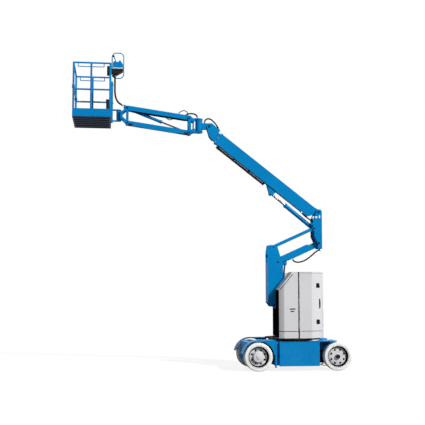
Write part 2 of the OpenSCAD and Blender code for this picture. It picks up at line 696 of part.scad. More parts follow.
// Hoses, each along a line of points in x and z, at a distance y from the middle
module hose(pts, r, y = 0) translate([0, y, 0]) {
  for (i = [0:len(pts) - 2]) toward(pts[i], pts[i + 1]) cylinder(r = r, h = norm(pts[i + 1] - pts[i]), $fn = 24);
  for (i = [1:len(pts) - 2]) translate([pts[i][0], 0, pts[i][1]]) sphere(r + 1.5, $fn = 24);
}
cable_r = 18;
hose_r = 15;
cable_line = let(x = plat_x1 + 72, z = plat_z1) [[x, z - 124], [x, z - 200], [x, z - 290], [x, z - 380],
  [x + 2, z - 470], [x + 12, z - 550], [x + 34, z - 620], [x + 68, z - 676], [x + 110, z - 712],
  guide_p + [-26, 14]];
jib_line = [r_u + [-72, 74], r_u + [-30, 94], r_u + [20, 104], r_u + [75, 104], r_u + [128, 88], r_u + [158, 58],
  [r_u[0] + 172, h_p[1] + 174]];
head_line = [h_p + [-98, 77], h_p + [-92, 116], h_p + [-62, 152], h_p + [-14, 166], h_p + [40, 150], h_p + [94, 104],
  h_p + [140, 52], boom_at(boom_len + 83, 81)];
riser_line = [m_b + [336, 57], m_b + [350, 28], m_b + [392, 4], m_b + [470, 0], m_b + [560, 24], m_b + [650, 74],
  m_b + [735, 140], m_b + [810, 206], m_b + [870, 244], u_a + [55, -138]];
boom_line = [u_a + [28, 400], u_a + [-36, 392], u_a + [-126, 448], u_a + [-226, 518], u_a + [-306, 578],
  boom_at(280, -tube_down - 17)];
module control_cable() color(black) placed() hose(cable_line, cable_r, -40);
module jib_hose() color(black) placed() hose(jib_line, hose_r);
module head_hose() color(black) placed() hose(head_line, hose_r);
module riser_hose() color(black) placed() hose(riser_line, hose_r);
module boom_hose() color(black) placed() hose(boom_line, hose_r, -64);

chassis_frame();
side_panels();
fenders();
drive_axle();
steer_axle();
knuckle_near();
knuckle_far();
tie_rod();
tyre_drive_near();
tyre_drive_far();
tyre_steer_near();
tyre_steer_far();
rim_drive_near();
rim_drive_far();
rim_steer_near();
rim_steer_far();
slew_ring();
turntable_frame();
cover_near();
cover_far();
counterweight();
power_unit();
door_near();
door_far();
lower_arm();
lower_link();
mid_pivot();
upper_arm();
upper_link();
upper_pivot();
riser_barrel();
riser_rod();
boom_tube();
hose_track();
boom_extension();
boom_barrel();
boom_rod();
jib_base();
jib_rotator();
jib_upper_beam();
jib_lower_beam();
jib_end_bracket();
jib_barrel();
jib_rod();
platform_mount();
platform_floor();
floor_bearers();
platform_rails();
entry_rail();
control_box();
control_cable();
jib_hose();
head_hose();
riser_hose();
boom_hose();
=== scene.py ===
"""Looks of an articulating boom lift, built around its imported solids.

Lengths are metres in the part's own frame: ground at z = 0, steered end at +X, platform at -X, near side at -Y.
"""

import logging
import math
from dataclasses import dataclass
from enum import Enum
from typing import Optional, Sequence

import bmesh
import bpy
import numpy as np
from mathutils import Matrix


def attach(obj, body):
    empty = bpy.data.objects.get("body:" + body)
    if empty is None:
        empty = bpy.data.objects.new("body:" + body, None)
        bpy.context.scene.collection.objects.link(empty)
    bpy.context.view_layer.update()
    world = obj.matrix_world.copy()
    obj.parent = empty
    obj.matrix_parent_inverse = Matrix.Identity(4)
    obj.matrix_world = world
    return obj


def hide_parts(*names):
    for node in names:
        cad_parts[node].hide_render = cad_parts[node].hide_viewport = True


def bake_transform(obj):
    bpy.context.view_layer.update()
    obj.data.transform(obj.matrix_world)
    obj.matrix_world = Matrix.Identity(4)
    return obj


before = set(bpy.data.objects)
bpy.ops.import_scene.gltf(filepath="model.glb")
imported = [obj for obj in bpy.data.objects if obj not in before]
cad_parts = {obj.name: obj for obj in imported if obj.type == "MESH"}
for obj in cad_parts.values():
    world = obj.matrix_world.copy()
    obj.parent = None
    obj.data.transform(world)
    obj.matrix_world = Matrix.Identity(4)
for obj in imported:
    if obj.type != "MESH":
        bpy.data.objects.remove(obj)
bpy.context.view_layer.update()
LOG = logging.getLogger("boom_lift")

RGB = tuple[float, float, float]
Socket = bpy.types.NodeSocket
Points = np.ndarray
Section = Sequence[tuple[float, float]]

SHIFT = np.array([1.70815, 0.0, 0.0])
ACROSS = np.array([0.0, 1.0, 0.0])
UPRIGHT = np.array([0.0, 0.0, 1.0])


def linear(colour: RGB) -> tuple[float, float, float, float]:
    """Turns a screen colour into the linear one that a shader takes.

    Args:
        colour: red, green and blue from 0 to 1 as seen on a screen.

    Returns:
        The linear colour with a full alpha.
    """
    c = np.asarray(colour, float)
    out = np.where(c <= 0.04045, c / 12.92, ((c + 0.055) / 1.055) ** 2.4)
    return (float(out[0]), float(out[1]), float(out[2]), 1.0)


class Graph:
    """A small writer of shader nodes for one material."""

    def __init__(self, name: str) -> None:
        """Starts an empty material with its shader and output.

        Args:
            name: the material's name.
        """
        self.material = bpy.data.materials.new(name)
        self.material.use_nodes = True
        self.tree = self.material.node_tree
        self.tree.nodes.clear()
        self.out = self.add("ShaderNodeOutputMaterial")
        self.shader = self.add("ShaderNodeBsdfPrincipled")
        self.link(self.shader.outputs[0], self.out.inputs[0])
        self.place = self.add("ShaderNodeTexCoord").outputs["Object"]

    def add(self, kind: str, **values: object) -> bpy.types.Node:
        """Adds a node and sets its plain attributes.

        Args:
            kind: the node's type name.
            values: attributes to set on it.

        Returns:
            The new node.
        """
        node = self.tree.nodes.new(kind)
        for key, value in values.items():
            setattr(node, key, value)
        return node

    def link(self, a: Socket, b: Socket) -> None:
        """Joins an output to an input."""
        self.tree.links.new(a, b)

    def stretched(self, scale: tuple[float, float, float]) -> Socket:
        """Gives the object's place, stretched along its axes.

        Args:
            scale: factor along each axis.

        Returns:
            The stretched place.
        """
        node = self.add("ShaderNodeMapping")
        node.inputs["Scale"].default_value = scale
        self.link(self.place, node.inputs["Vector"])
        return node.outputs[0]

    def noise(self, scale: float, detail: float = 4.0, rough: float = 0.55,
              place: Optional[Socket] = None) -> Socket:
        """Adds a cloud pattern.

        Args:
            scale: clouds per metre.
            detail: octaves.
            rough: how much the finer octaves count.
            place: where it is read, the object's own place if left out.

        Returns:
            Its value from 0 to 1.
        """
        node = self.add("ShaderNodeTexNoise")
        node.inputs["Scale"].default_value = scale
        node.inputs["Detail"].default_value = detail
        node.inputs["Roughness"].default_value = rough
        self.link(place or self.place, node.inputs["Vector"])
        return node.outputs["Fac"]

    def spread(self, value: Socket, lo: float, hi: float, to_lo: float = 0.0,
               to_hi: float = 1.0) -> Socket:
        """Maps a value from one range to another, held at the ends.

        Args:
            value: what is mapped.
            lo: value that becomes to_lo.
            hi: value that becomes to_hi.
            to_lo: result at lo.
            to_hi: result at hi.

        Returns:
            The mapped value.
        """
        node = self.add("ShaderNodeMapRange")
        node.inputs["From Min"].default_value = lo
        node.inputs["From Max"].default_value = hi
        node.inputs["To Min"].default_value = to_lo
        node.inputs["To Max"].default_value = to_hi
        self.link(value, node.inputs["Value"])
        return node.outputs[0]

    def times(self, a: Socket, b: Socket) -> Socket:
        """Multiplies two values.

        Args:
            a: first value.
            b: second value.

        Returns:
            Their product.
        """
        node = self.add("ShaderNodeMath", operation="MULTIPLY")
        self.link(a, node.inputs[0])
        self.link(b, node.inputs[1])
        return node.outputs[0]

    def mix(self, share: Socket, a: Socket | RGB, b: Socket | RGB) -> Socket:
        """Mixes two colours.

        Args:
            share: how much of the second.
            a: first colour, plain or from a node.
            b: second colour, plain or from a node.

        Returns:
            The mixed colour.
        """
        node = self.add("ShaderNodeMix", data_type="RGBA")
        self.link(share, node.inputs[0])
        for socket, value in ((node.inputs[6], a), (node.inputs[7], b)):
            if isinstance(value, tuple):
                socket.default_value = linear(value)
            else:
                self.link(value, socket)
        return node.outputs[2]

    def bump(self, height: Socket, distance: float, below: Optional[Socket] = None) -> Socket:
        """Adds a bump.

        Args:
            height: its height from 0 to 1.
            distance: how high 1 is, in metres.
            below: a bump that this one lies on.

        Returns:
            The bent normal.
        """
        node = self.add("ShaderNodeBump")
        node.inputs["Strength"].default_value = 0.6
        node.inputs["Distance"].default_value = distance
        self.link(height, node.inputs["Height"])
        if below is not None:
            self.link(below, node.inputs["Normal"])
        return node.outputs[0]


DUST_COLOUR = (0.62, 0.60, 0.57)


@dataclass(frozen=True)
class Finish:
    """A painted, moulded or bare surface with mottling, dust, scuffs and a fine bump.

    Attributes:
        name: the finish's name.
        base: its main colour on a screen.
        shade: the colour that it drifts to in soft clouds.
        rough: roughness from the glossiest to the dullest spots.
        metallic: 1 for bare metal.
        coat: weight of a clear coat.
        clouds: clouds of mottling per metre.
        grain: fine bumps per metre.
        depth: height of the fine bumps in metres.
        dust: share of pale dust low on the machine.
        scuff: share of the surface with fine scuffs.
        scuff_colour: colour of the scuffs.
        specular: level of the plain reflection.
        tread: raised lozenges per metre, none if 0.
    """

    name: str
    base: RGB
    shade: RGB
    rough: tuple[float, float] = (0.3, 0.45)
    metallic: float = 0.0
    coat: float = 0.0
    clouds: float = 2.0
    grain: float = 260.0
    depth: float = 0.0002
    dust: float = 0.1
    scuff: float = 0.1
    scuff_colour: RGB = (0.75, 0.77, 0.78)
    specular: float = 0.5
    tread: float = 0.0

    def material(self) -> bpy.types.Material:
        """Makes the finish's material once and gives it back after that.

        Returns:
            The material.
        """
        done = bpy.data.materials.get(self.name)
        if done is not None:
            return done
        g = Graph(self.name)
        colour = g.mix(g.spread(g.noise(self.clouds, 5.0), 0.32, 0.72), self.base, self.shade)
        streak = g.noise(14.0, 6.0, 0.7, g.stretched((1.0, 1.0, 0.18)))
        patches = g.spread(g.noise(40.0, 3.0), 0.45, 0.6)
        scuffs = g.times(g.spread(streak, 0.66, 0.72, 0.0, self.scuff), patches)
        colour = g.mix(scuffs, colour, self.scuff_colour)
        height = g.add("ShaderNodeSeparateXYZ")
        g.link(g.place, height.inputs[0])
        low = g.spread(height.outputs["Z"], 0.85, 0.05, 0.0, self.dust)
        settled = g.times(low, g.spread(g.noise(9.0, 6.0, 0.65), 0.35, 0.7))
        colour = g.mix(settled, colour, DUST_COLOUR)
        g.link(colour, g.shader.inputs["Base Color"])
        g.link(g.spread(g.noise(22.0, 5.0), 0.3, 0.7, *self.rough), g.shader.inputs["Roughness"])
        bent = g.bump(g.noise(self.grain, 2.0), self.depth)
        g.link(self.raised(g, bent) if self.tread else bent, g.shader.inputs["Normal"])
        g.shader.inputs["Metallic"].default_value = self.metallic
        g.shader.inputs["Coat Weight"].default_value = self.coat
        g.shader.inputs["Coat Roughness"].default_value = 0.12
        g.shader.inputs["Specular IOR Level"].default_value = self.specular
        return g.material

    def raised(self, g: Graph, below: Socket) -> Socket:
        """Adds the lozenges of a tread plate, the product of two waves that cross at a right angle.

        Args:
            g: the material's writer.
            below: the bump that the lozenges lie on.

        Returns:
            The bent normal.
        """
        waves = []
        for turn in (math.pi / 4, -math.pi / 4):
            node = g.add("ShaderNodeMapping")
            node.inputs["Rotation"].default_value = (0.0, 0.0, turn)
            g.link(g.place, node.inputs["Vector"])
            wave = g.add("ShaderNodeTexWave", wave_profile="SIN", bands_direction="X")
            wave.inputs["Scale"].default_value = self.tread
            g.link(node.outputs[0], wave.inputs["Vector"])
            waves.append(wave.outputs["Fac"])
        return g.bump(g.spread(g.times(*waves), 0.45, 0.6), 0.002, below)


BLUE = Finish("blue_gloss_paint", (0.0, 0.515, 0.765), (0.0, 0.475, 0.72), (0.3, 0.42), clouds=1.3,
              grain=420.0, depth=0.00015, dust=0.05, scuff=0.08, scuff_colour=(0.05, 0.58, 0.80),
              specular=0.07)
# The pin faces' own dark blue, also used as painted shade on the floor's bearers.
DARK_BLUE_AND_PAINTED_SHADE = Finish("dark_blue_pin", (0.0, 0.20, 0.36), (0.0, 0.14, 0.27), (0.3, 0.45), clouds=20.0,
                  grain=400.0, depth=0.0001, dust=0.0, scuff=0.15, scuff_colour=(0.3, 0.4, 0.5),
                  specular=0.3)
COVER = Finish("grey_cover_gelcoat", (0.83, 0.83, 0.835), (0.79, 0.79, 0.80), (0.28, 0.42), coat=0.2,
               clouds=0.9, grain=300.0, depth=0.00012, dust=0.1, scuff=0.12,
               scuff_colour=(0.70, 0.70, 0.70), specular=0.4)
RIM = Finish("pale_rim_paint", (0.84, 0.845, 0.85), (0.78, 0.785, 0.79), (0.4, 0.55), clouds=6.0,
             grain=380.0, depth=0.0002, dust=0.22, scuff=0.2, scuff_colour=(0.55, 0.55, 0.55),
             specular=0.4)
TYRE = Finish("white_tyre_rubber", (0.955, 0.95, 0.935), (0.91, 0.905, 0.885), (0.62, 0.8), clouds=7.0,
              grain=240.0, depth=0.0006, dust=0.2, scuff=0.25, scuff_colour=(0.72, 0.71, 0.69),
              specular=0.3)
ROD = Finish("polished_rod", (0.40, 0.41, 0.43), (0.31, 0.32, 0.34), (0.16, 0.26), 1.0, clouds=3.0,
             grain=600.0, depth=0.00003, dust=0.0, scuff=0.1)
BLACK = Finish("black_satin_paint", (0.045, 0.045, 0.05), (0.03, 0.03, 0.035), (0.35, 0.5), clouds=3.0,
               grain=320.0, depth=0.0002, dust=0.06, scuff=0.1, scuff_colour=(0.2, 0.2, 0.2), specular=0.2)
IRON = Finish("black_cast_iron", (0.07, 0.07, 0.072), (0.1, 0.098, 0.095), (0.6, 0.8), clouds=5.0,
              grain=120.0, depth=0.0008, dust=0.2, scuff=0.15, scuff_colour=(0.25, 0.24, 0.23))
PLASTIC = Finish("black_moulded_plastic", (0.04, 0.04, 0.045), (0.03, 0.03, 0.033), (0.5, 0.65),
                 clouds=4.0, grain=700.0, depth=0.0003, dust=0.05, scuff=0.1,
                 scuff_colour=(0.15, 0.15, 0.15), specular=0.22)
RUBBER = Finish("black_hose_rubber", (0.03, 0.03, 0.034), (0.045, 0.045, 0.048), (0.55, 0.75), clouds=12.0,
                grain=500.0, depth=0.0003, dust=0.0, scuff=0.1, scuff_colour=(0.15, 0.15, 0.15),
                specular=0.15)
FLOOR = Finish("dark_floor_plate", (0.13, 0.135, 0.14), (0.17, 0.175, 0.18), (0.45, 0.65), 0.4, clouds=6.0,
               grain=200.0, depth=0.0006, dust=0.0, scuff=0.35, scuff_colour=(0.4, 0.4, 0.42), tread=9.0)
ZINC = Finish("zinc_plated_steel", (0.66, 0.67, 0.68), (0.52, 0.53, 0.54), (0.25, 0.4), 0.8, clouds=30.0,
              grain=500.0, depth=0.0001, dust=0.1, scuff=0.2, scuff_colour=(0.4, 0.38, 0.35))
GASKET = Finish("dark_gasket", (0.07, 0.07, 0.075), (0.05, 0.05, 0.055), (0.6, 0.75), clouds=10.0,
                grain=400.0, depth=0.0002, dust=0.03, scuff=0.05, scuff_colour=(0.2, 0.2, 0.2),
                specular=0.15)
GRIP = Finish("gritty_deck_pad", (0.10, 0.10, 0.105), (0.15, 0.15, 0.15), (0.8, 0.95), clouds=9.0,
              grain=650.0, depth=0.0012, dust=0.2, scuff=0.2, scuff_colour=(0.3, 0.3, 0.3))
# Black matt with no sheen: the covers' front panels, and painted shade in the wheels' rim recesses.
BLACK_MATT_AND_PAINTED_SHADE = Finish("black_matt_panel", (0.03, 0.03, 0.033), (0.022, 0.022, 0.025), (0.85, 0.95), clouds=3.0,
              grain=500.0, depth=0.0003, dust=0.02, scuff=0.08, scuff_colour=(0.1, 0.1, 0.1), specular=0.0)
SIGNAL = Finish("red_button_plastic", (0.72, 0.06, 0.05), (0.62, 0.05, 0.05), (0.3, 0.45), clouds=8.0,
                grain=400.0, depth=0.0001, dust=0.0, scuff=0.1, scuff_colour=(0.8, 0.4, 0.38))


def finish_of(node: str) -> Finish:
    """Says which finish a solid of the frame carries.

    Args:
        node: the solid's name.

    Returns:
        Its finish.
    """
    if node.startswith("tyre"):
        return TYRE
    if node.startswith("rim"):
        return RIM
    if node.startswith(("cover", "door")):
        return COVER
    if node.endswith("_hose") or node == "control_cable":
        return RUBBER
    if node in ("riser_rod", "boom_rod", "jib_rod"):
        return ROD
    if node in ("counterweight", "power_unit"):
        return IRON
    if node == "hose_track":
        return PLASTIC
    if node == "platform_floor":
        return FLOOR
    # The floor's bearers wear the darker pin blue instead of the chassis blue: painted shade under the
    # platform.
    if node == "floor_bearers":
        return DARK_BLUE_AND_PAINTED_SHADE
    # turntable_frame wears black as painted shade of the gap under the covers; the other parts here wear black
    # paint.
    if node in ("riser_barrel", "drive_axle", "steer_axle", "knuckle_near", "knuckle_far", "tie_rod",
                "slew_ring", "turntable_frame"):
        return BLACK
    return BLUE


EDGE: dict[str, float] = {
    "cover_near": 0.007, "cover_far": 0.007, "door_near": 0.004, "door_far": 0.004,
    "boom_tube": 0.006, "boom_extension": 0.005, "side_panels": 0.004,
}
PLAIN_EDGE = 0.0025


def dress_frame() -> None:
    """Gives each solid of the frame its finish, makes each plane one face and softens the edges."""
    for name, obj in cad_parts.items():
        finish = finish_of(name)
        obj.data.materials.clear()
        obj.data.materials.append(finish.material())
        obj.data.polygons.foreach_set("use_smooth", np.ones(len(obj.data.polygons), bool))
        weld = obj.modifiers.new("weld", "WELD")
        weld.merge_threshold = 0.00005
        flat = obj.modifiers.new("one_face_for_each_plane", "DECIMATE")
        flat.decimate_type = "DISSOLVE"
        flat.angle_limit = math.radians(1.0)
        soft = obj.modifiers.new("soft_edges", "BEVEL")
        soft.width = EDGE.get(name, PLAIN_EDGE)
        soft.segments = 2
        soft.limit_method = "ANGLE"
        soft.angle_limit = math.radians(40.0)
        even = obj.modifiers.new("even_shading", "WEIGHTED_NORMAL")
        even.mode = "FACE_AREA"
        even.keep_sharp = True
        LOG.info("solid %s wears %s", name, finish.name)


@dataclass
class Studio:
    """The floor, the light and the camera.

    Attributes:
        eye: the camera's place.
        yaw: degrees that it looks from +Y toward +X.
        pitch: degrees that it looks up.
        lens: focal length in millimetres on a 36 mm sensor.
    """

    eye: tuple[float, float, float] = (-1.969, -16.8563, 1.627)
    yaw: float = 6.87
    pitch: float = 5.22
    lens: float = 70.32

    def camera(self) -> None:
        """Sets the camera at the photograph's viewing angle."""
        data = bpy.data.cameras.new("camera")
        data.lens = self.lens
        data.sensor_width = 36.0
        data.clip_end = 500.0
        obj = bpy.data.objects.new("camera", data)
        obj.location = self.eye
        obj.rotation_euler = (math.radians(90.0 + self.pitch), 0.0, math.radians(-self.yaw))
        bpy.context.scene.collection.objects.link(obj)
        bpy.context.scene.camera = obj

    def floor(self) -> None:
        """Lays a wide pale floor that keeps the shadow and is white to the camera elsewhere."""
        u, v = np.meshgrid(np.linspace(-1.0, 1.0, 9), np.linspace(-1.0, 1.0, 9), indexing="ij")
        points = np.stack([220.0 * u, 220.0 * v, np.full_like(u, -0.0005)], -1)
        obj = mesh_from_grid("floor", points, closed=False)
        g = Graph("studio_floor")
        g.shader.inputs["Roughness"].default_value = 0.9
        g.shader.inputs["Specular IOR Level"].default_value = 0.0
        pale = g.mix(g.spread(g.noise(0.6), 0.3, 0.7), (0.97, 0.97, 0.97), (0.98, 0.98, 0.98))
        glow = g.add("ShaderNodeEmission")
        glow.inputs["Strength"].default_value = 1.0
        ray = g.add("ShaderNodeLightPath")
        g.link(g.mix(ray.outputs["Is Camera Ray"], (0.55, 0.55, 0.55), pale), g.shader.inputs["Base Color"])
        share = g.spread(ray.outputs["Is Camera Ray"], 0.0, 1.0, 0.0, 0.86)
        both = g.add("ShaderNodeMixShader")
        g.link(share, both.inputs[0])
        g.link(g.shader.outputs[0], both.inputs[1])
        g.link(glow.outputs[0], both.inputs[2])
        g.link(both.outputs[0], g.out.inputs[0])
        obj.data.materials.append(g.material)

    def light(self) -> None:
        """Hangs a key and a back light under a pale sky, and sets the plain view."""
        scene = bpy.context.scene
        scene.view_settings.view_transform = "Standard"
        world = bpy.data.worlds.new("studio_sky")
        scene.world = world
        world.use_nodes = True
        tree = world.node_tree
        sky = tree.nodes["Background"]
        sky.inputs["Color"].default_value = (1.0, 1.0, 1.0, 1.0)
        ray = tree.nodes.new("ShaderNodeLightPath")
        seen = tree.nodes.new("ShaderNodeMath")
        seen.operation = "MAXIMUM"
        tree.links.new(ray.outputs["Is Camera Ray"], seen.inputs[0])
        tree.links.new(ray.outputs["Is Glossy Ray"], seen.inputs[1])
        level = tree.nodes.new("ShaderNodeMapRange")
        level.inputs["To Min"].default_value = 0.22
        level.inputs["To Max"].default_value = 1.0
        tree.links.new(seen.outputs[0], level.inputs["Value"])
        tree.links.new(level.outputs[0], sky.inputs["Strength"])
        for name, strength, spread, turn in (
            ("key", 4.0, 4.0, (52.0, 0.0, 42.0)),
            ("back", 1.1, 20.0, (50.0, 0.0, 205.0)),
        ):
            data = bpy.data.lights.new(name, "SUN")
            data.energy = strength
            data.angle = math.radians(spread)
            obj = bpy.data.objects.new(name, data)
            obj.rotation_euler = tuple(math.radians(a) for a in turn)
            scene.collection.objects.link(obj)


def at(x: float, y: float, z: float) -> Points:
    """Turns millimetres from the slew axis into the part's own frame in metres."""
    return np.array([x, y, z]) / 1000.0 + SHIFT


def line_at(xz: Sequence[Sequence[float]] | Points, y: float) -> Points:
    """Gives places in metres from pairs of x and z in millimetres, all at one distance y from the middle."""
    return np.insert(np.asarray(xz, float), 1, y, axis=1) / 1000.0 + SHIFT


def mesh_from_grid(name: str, points: Points, closed: bool = True) -> bpy.types.Object:
    """Makes one mesh from one or more equal grids of points, with a face between each four neighbours.

    Args:
        name: the object's name.
        points: array of shape (m, n, 3), or (k, m, n, 3) for k copies.
        closed: joins the last column of a grid to its first.

    Returns:
        The new object, linked to the scene, with its doubled points merged.
    """
    grids = points if points.ndim == 4 else points[None]
    k, m, n, _ = grids.shape
    index = np.arange(k * m * n).reshape(k, m, n)
    index = np.concatenate([index, index[:, :, :1]], 2) if closed else index
    corners = [index[:, :-1, :-1], index[:, 1:, :-1], index[:, 1:, 1:], index[:, :-1, 1:]]
    faces = np.stack(corners, -1).reshape(-1, 4)
    mesh = bpy.data.meshes.new(name)
    mesh.from_pydata(grids.reshape(-1, 3).tolist(), [], faces.tolist())
    tidy = bmesh.new()
    tidy.from_mesh(mesh)
    bmesh.ops.remove_doubles(tidy, verts=tidy.verts, dist=2e-6)
    bmesh.ops.dissolve_degenerate(tidy, edges=tidy.edges, dist=1e-6)
    bmesh.ops.recalc_face_normals(tidy, faces=tidy.faces)
    tidy.to_mesh(mesh)
    tidy.free()
    mesh.polygons.foreach_set("use_smooth", np.ones(len(mesh.polygons), bool))
    mesh.update()
    obj = bpy.data.objects.new(name, mesh)
    bpy.context.scene.collection.objects.link(obj)
    return obj


def joined(name: str, parts: Sequence[bpy.types.Object]) -> bpy.types.Object:
    """Joins several new objects into one piece.

    Args:
        name: the piece's name.
        parts: the objects, which are used up; the first keeps its finish slots.

    Returns:
        The one piece.
    """
    bpy.ops.object.select_all(action="DESELECT")
    for part in parts:
        part.select_set(True)
    bpy.context.view_layer.objects.active = parts[0]
    bpy.ops.object.join()
    parts[0].name = name
    parts[0].data.name = name
    return parts[0]


def dressed(obj: bpy.types.Object, finish: Finish, body: Optional[str] = None,
            sharp: float = 35.0) -> bpy.types.Object:
    """Gives a piece its finish, its body and its slot, and keeps its sharp edges sharp.

    Args:
        obj: the piece.
        finish: what it wears.
        body: the body that it rides on; none for a piece that rides on no body.
        sharp: angle in degrees above which an edge stays sharp.

    Returns:
        The same piece.
    """
    obj.data.materials.clear()
    obj.data.materials.append(finish.material())
    obj.data.set_sharp_from_angle(angle=math.radians(sharp))
    if body is not None:
        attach(obj, body)
    LOG.info("piece %s wears %s", obj.name, finish.name)
    return obj


def axes_from(w: Sequence[float]) -> tuple[Points, Points, Points]:
    """Gives three square axes, the third along w.

    Args:
        w: direction of the third axis.

    Returns:
        The axes u, v and w as unit vectors, with u level where it can be.
    """
    w = np.asarray(w, float) / np.linalg.norm(w)
    other = UPRIGHT if abs(w[2]) < 0.9 else np.array([1.0, 0.0, 0.0])
    u = np.cross(other, w)
    u /= np.linalg.norm(u)
    return u, np.cross(w, u), w


def lathe(name: str, centres: Points, axis: Sequence[float], profile: Section,
          sides: int = 24, turn: float = 0.0) -> bpy.types.Object:
    """Turns a profile round an axis at each of several places.

    The point at angle a and profile step (r, h) is centre + r cos(a) u + r sin(a) v + h w.

    Args:
        name: the object's name.
        centres: places in metres, shape (k, 3) or (3,).
        axis: direction of w.
        profile: steps of radius and height in millimetres.
        sides: points round the axis.
        turn: degrees that the first point is turned by.

    Returns:
        The new object.
    """
    u, v, w = axes_from(axis)
    a = np.linspace(0.0, 2.0 * np.pi, sides, endpoint=False) + math.radians(turn)
    r, h = (np.asarray(profile, float) / 1000.0).T
    ring = np.cos(a)[:, None] * u + np.sin(a)[:, None] * v
    shape = r[:, None, None] * ring[None] + h[:, None, None] * w
    grids = np.atleast_2d(centres)[:, None, None, :] + shape[None]
    return mesh_from_grid(name, grids)


def sweep(name: str, path: Points, side: Points, profile: Points) -> bpy.types.Object:
    """Carries a closed profile along a path.

    With tangent t along the path and a side vector s square to it, the point of profile step (p, q) is
    path + p (s x t) + q s. The two ends are closed by rings that shrink onto the path.

    Args:
        name: the object's name.
        path: points in metres, shape (m, 3).
        side: one side vector, or one for each point.
        profile: steps (p, q) in metres, shape (n, 2).

    Returns:
        The new object.
    """
    t = np.gradient(path, axis=0)
    t /= np.linalg.norm(t, axis=1, keepdims=True)
    s = np.broadcast_to(side, path.shape)
    n = np.cross(s, t)
    n /= np.linalg.norm(n, axis=1, keepdims=True)
    rings = path[:, None] + profile[None, :, :1] * n[:, None] + profile[None, :, 1:] * s[:, None]
    ends = np.broadcast_to(path[[0, -1], None], (2, *rings.shape[1:]))
    return mesh_from_grid(name, np.concatenate([ends[:1], rings, ends[1:]]))


def circle(radius: float, sides: int) -> Points:
    """Gives a round profile of a radius in metres."""
    a = np.linspace(0.0, 2.0 * np.pi, sides, endpoint=False)
    return radius * np.stack([np.cos(a), np.sin(a)], -1)


def oblong(width: float, height: float) -> Points:
    """Gives a flat profile with small round corners, a superellipse.

    Args:
        width: metres along the first direction.
        height: metres along the second.

    Returns:
        Its points, shape (24, 2).
    """
    a = np.linspace(0.0, 2.0 * np.pi, 24, endpoint=False)
    turn = np.stack([np.cos(a), np.sin(a)], -1)
    return np.sign(turn) * np.abs(turn) ** 0.3 * np.array([width, height]) / 2.0


def smooth_line(points: Points, steps: int) -> Points:
    """Draws a smooth line through points, each stretch a cubic set by its two neighbours on each side.

    Args:
        points: shape (n, 3).
        steps: points on each stretch.

    Returns:
        The points of the line.
    """
    p = np.concatenate([2 * points[:1] - points[1:2], points, 2 * points[-1:] - points[-2:-1]])
    t = np.linspace(0.0, 1.0, steps, endpoint=False)[None, :, None]
    a, b, c, d = p[:-3, None], p[1:-2, None], p[2:-1, None], p[3:, None]
    square, cube = 2 * a - 5 * b + 4 * c - d, 3 * b - a - 3 * c + d
    line = 0.5 * (2 * b + (c - a) * t + square * t ** 2 + cube * t ** 3)
    return np.concatenate([line.reshape(-1, 3), points[-1:]])


def slab(name: str, centre: Points, u: Sequence[float], v: Sequence[float], size: tuple[float, float, float],
         radius: float, bevel: float, steps: int = 6) -> bpy.types.Object:
    """Builds a plate with round corners and softened edges.

    A ring of the rounded rectangle with half sizes a - i and b - i and corner radius r - i is set at each
    height: the inset i falls from the bevel to 0 and back, and both faces close on the plate's middle line.

    Args:
        name: the object's name.
        centre: middle of the plate's foot in metres.
        u: direction of the first size.
        v: direction of the second size.
        size: width along u, width along v and height along u x v, in millimetres.
        radius: corner radius in millimetres.
        bevel: how far the edges are softened in millimetres.
        steps: points on each corner.

    Returns:
        The new object.
    """
    u, v = (np.asarray(x, float) / np.linalg.norm(x) for x in (u, v))
    w = np.cross(u, v)
    a, b, h = (x / 1000.0 for x in size)
    r, e = min(radius / 1000.0, a / 2, b / 2), bevel / 1000.0
    quarter = np.linspace(0.0, np.pi / 2, steps)
    angle = (quarter[None] + np.arange(4)[:, None] * np.pi / 2).ravel()
    sx = np.repeat([1, -1, -1, 1], steps)
    sy = np.repeat([1, 1, -1, -1], steps)
    most = min(a, b) / 2
    inset = np.array([most, e, 0.3 * e, 0.0, 0.0, 0.3 * e, e, most])[:, None]
    height = np.array([0.0, 0.0, 0.3 * e, e, h - e, h - 0.3 * e, h, h])[:, None]
    corner = np.maximum(r - inset, 0.0)
    half_a, half_b = np.maximum(a / 2 - inset, 0.0), np.maximum(b / 2 - inset, 0.0)
    x = sx * (half_a - np.minimum(corner, half_a)) + corner * np.cos(angle)
    y = sy * (half_b - np.minimum(corner, half_b)) + corner * np.sin(angle)
    rings = centre + x[..., None] * u + y[..., None] * v + np.broadcast_to(height, x.shape)[..., None] * w
    return mesh_from_grid(name, rings)


def block_of(name: str, outline: Points, y0: float, y1: float, bevel: float = 2.0) -> bpy.types.Object:
    """Builds a bar across the machine from an outline in x and z.

    The outline is carried from y0 to y1; near each end it shrinks toward its own middle by the bevel, and
    each end face closes on that middle.

    Args:
        name: the object's name.
        outline: points (x, z) in millimetres from the slew axis, round a star-shaped outline.
        y0: first end in millimetres.
        y1: second end in millimetres.
        bevel: how far the ends are softened in millimetres.

    Returns:
        The new object.
    """
    mid = outline.mean(0)
    away = outline - mid
    reach = np.linalg.norm(away, axis=1).mean()
    scale = np.array([0.0, 1.0 - bevel / reach, 1.0, 1.0, 1.0 - bevel / reach, 0.0])
    ys = np.array([y0, y0, y0 + bevel, y1 - bevel, y1, y1])
    flat = mid + scale[:, None, None] * away
    rings = np.stack([flat[..., 0], np.broadcast_to(ys[:, None], flat.shape[:2]), flat[..., 1]], -1)
    return mesh_from_grid(name, rings / 1000.0 + SHIFT)


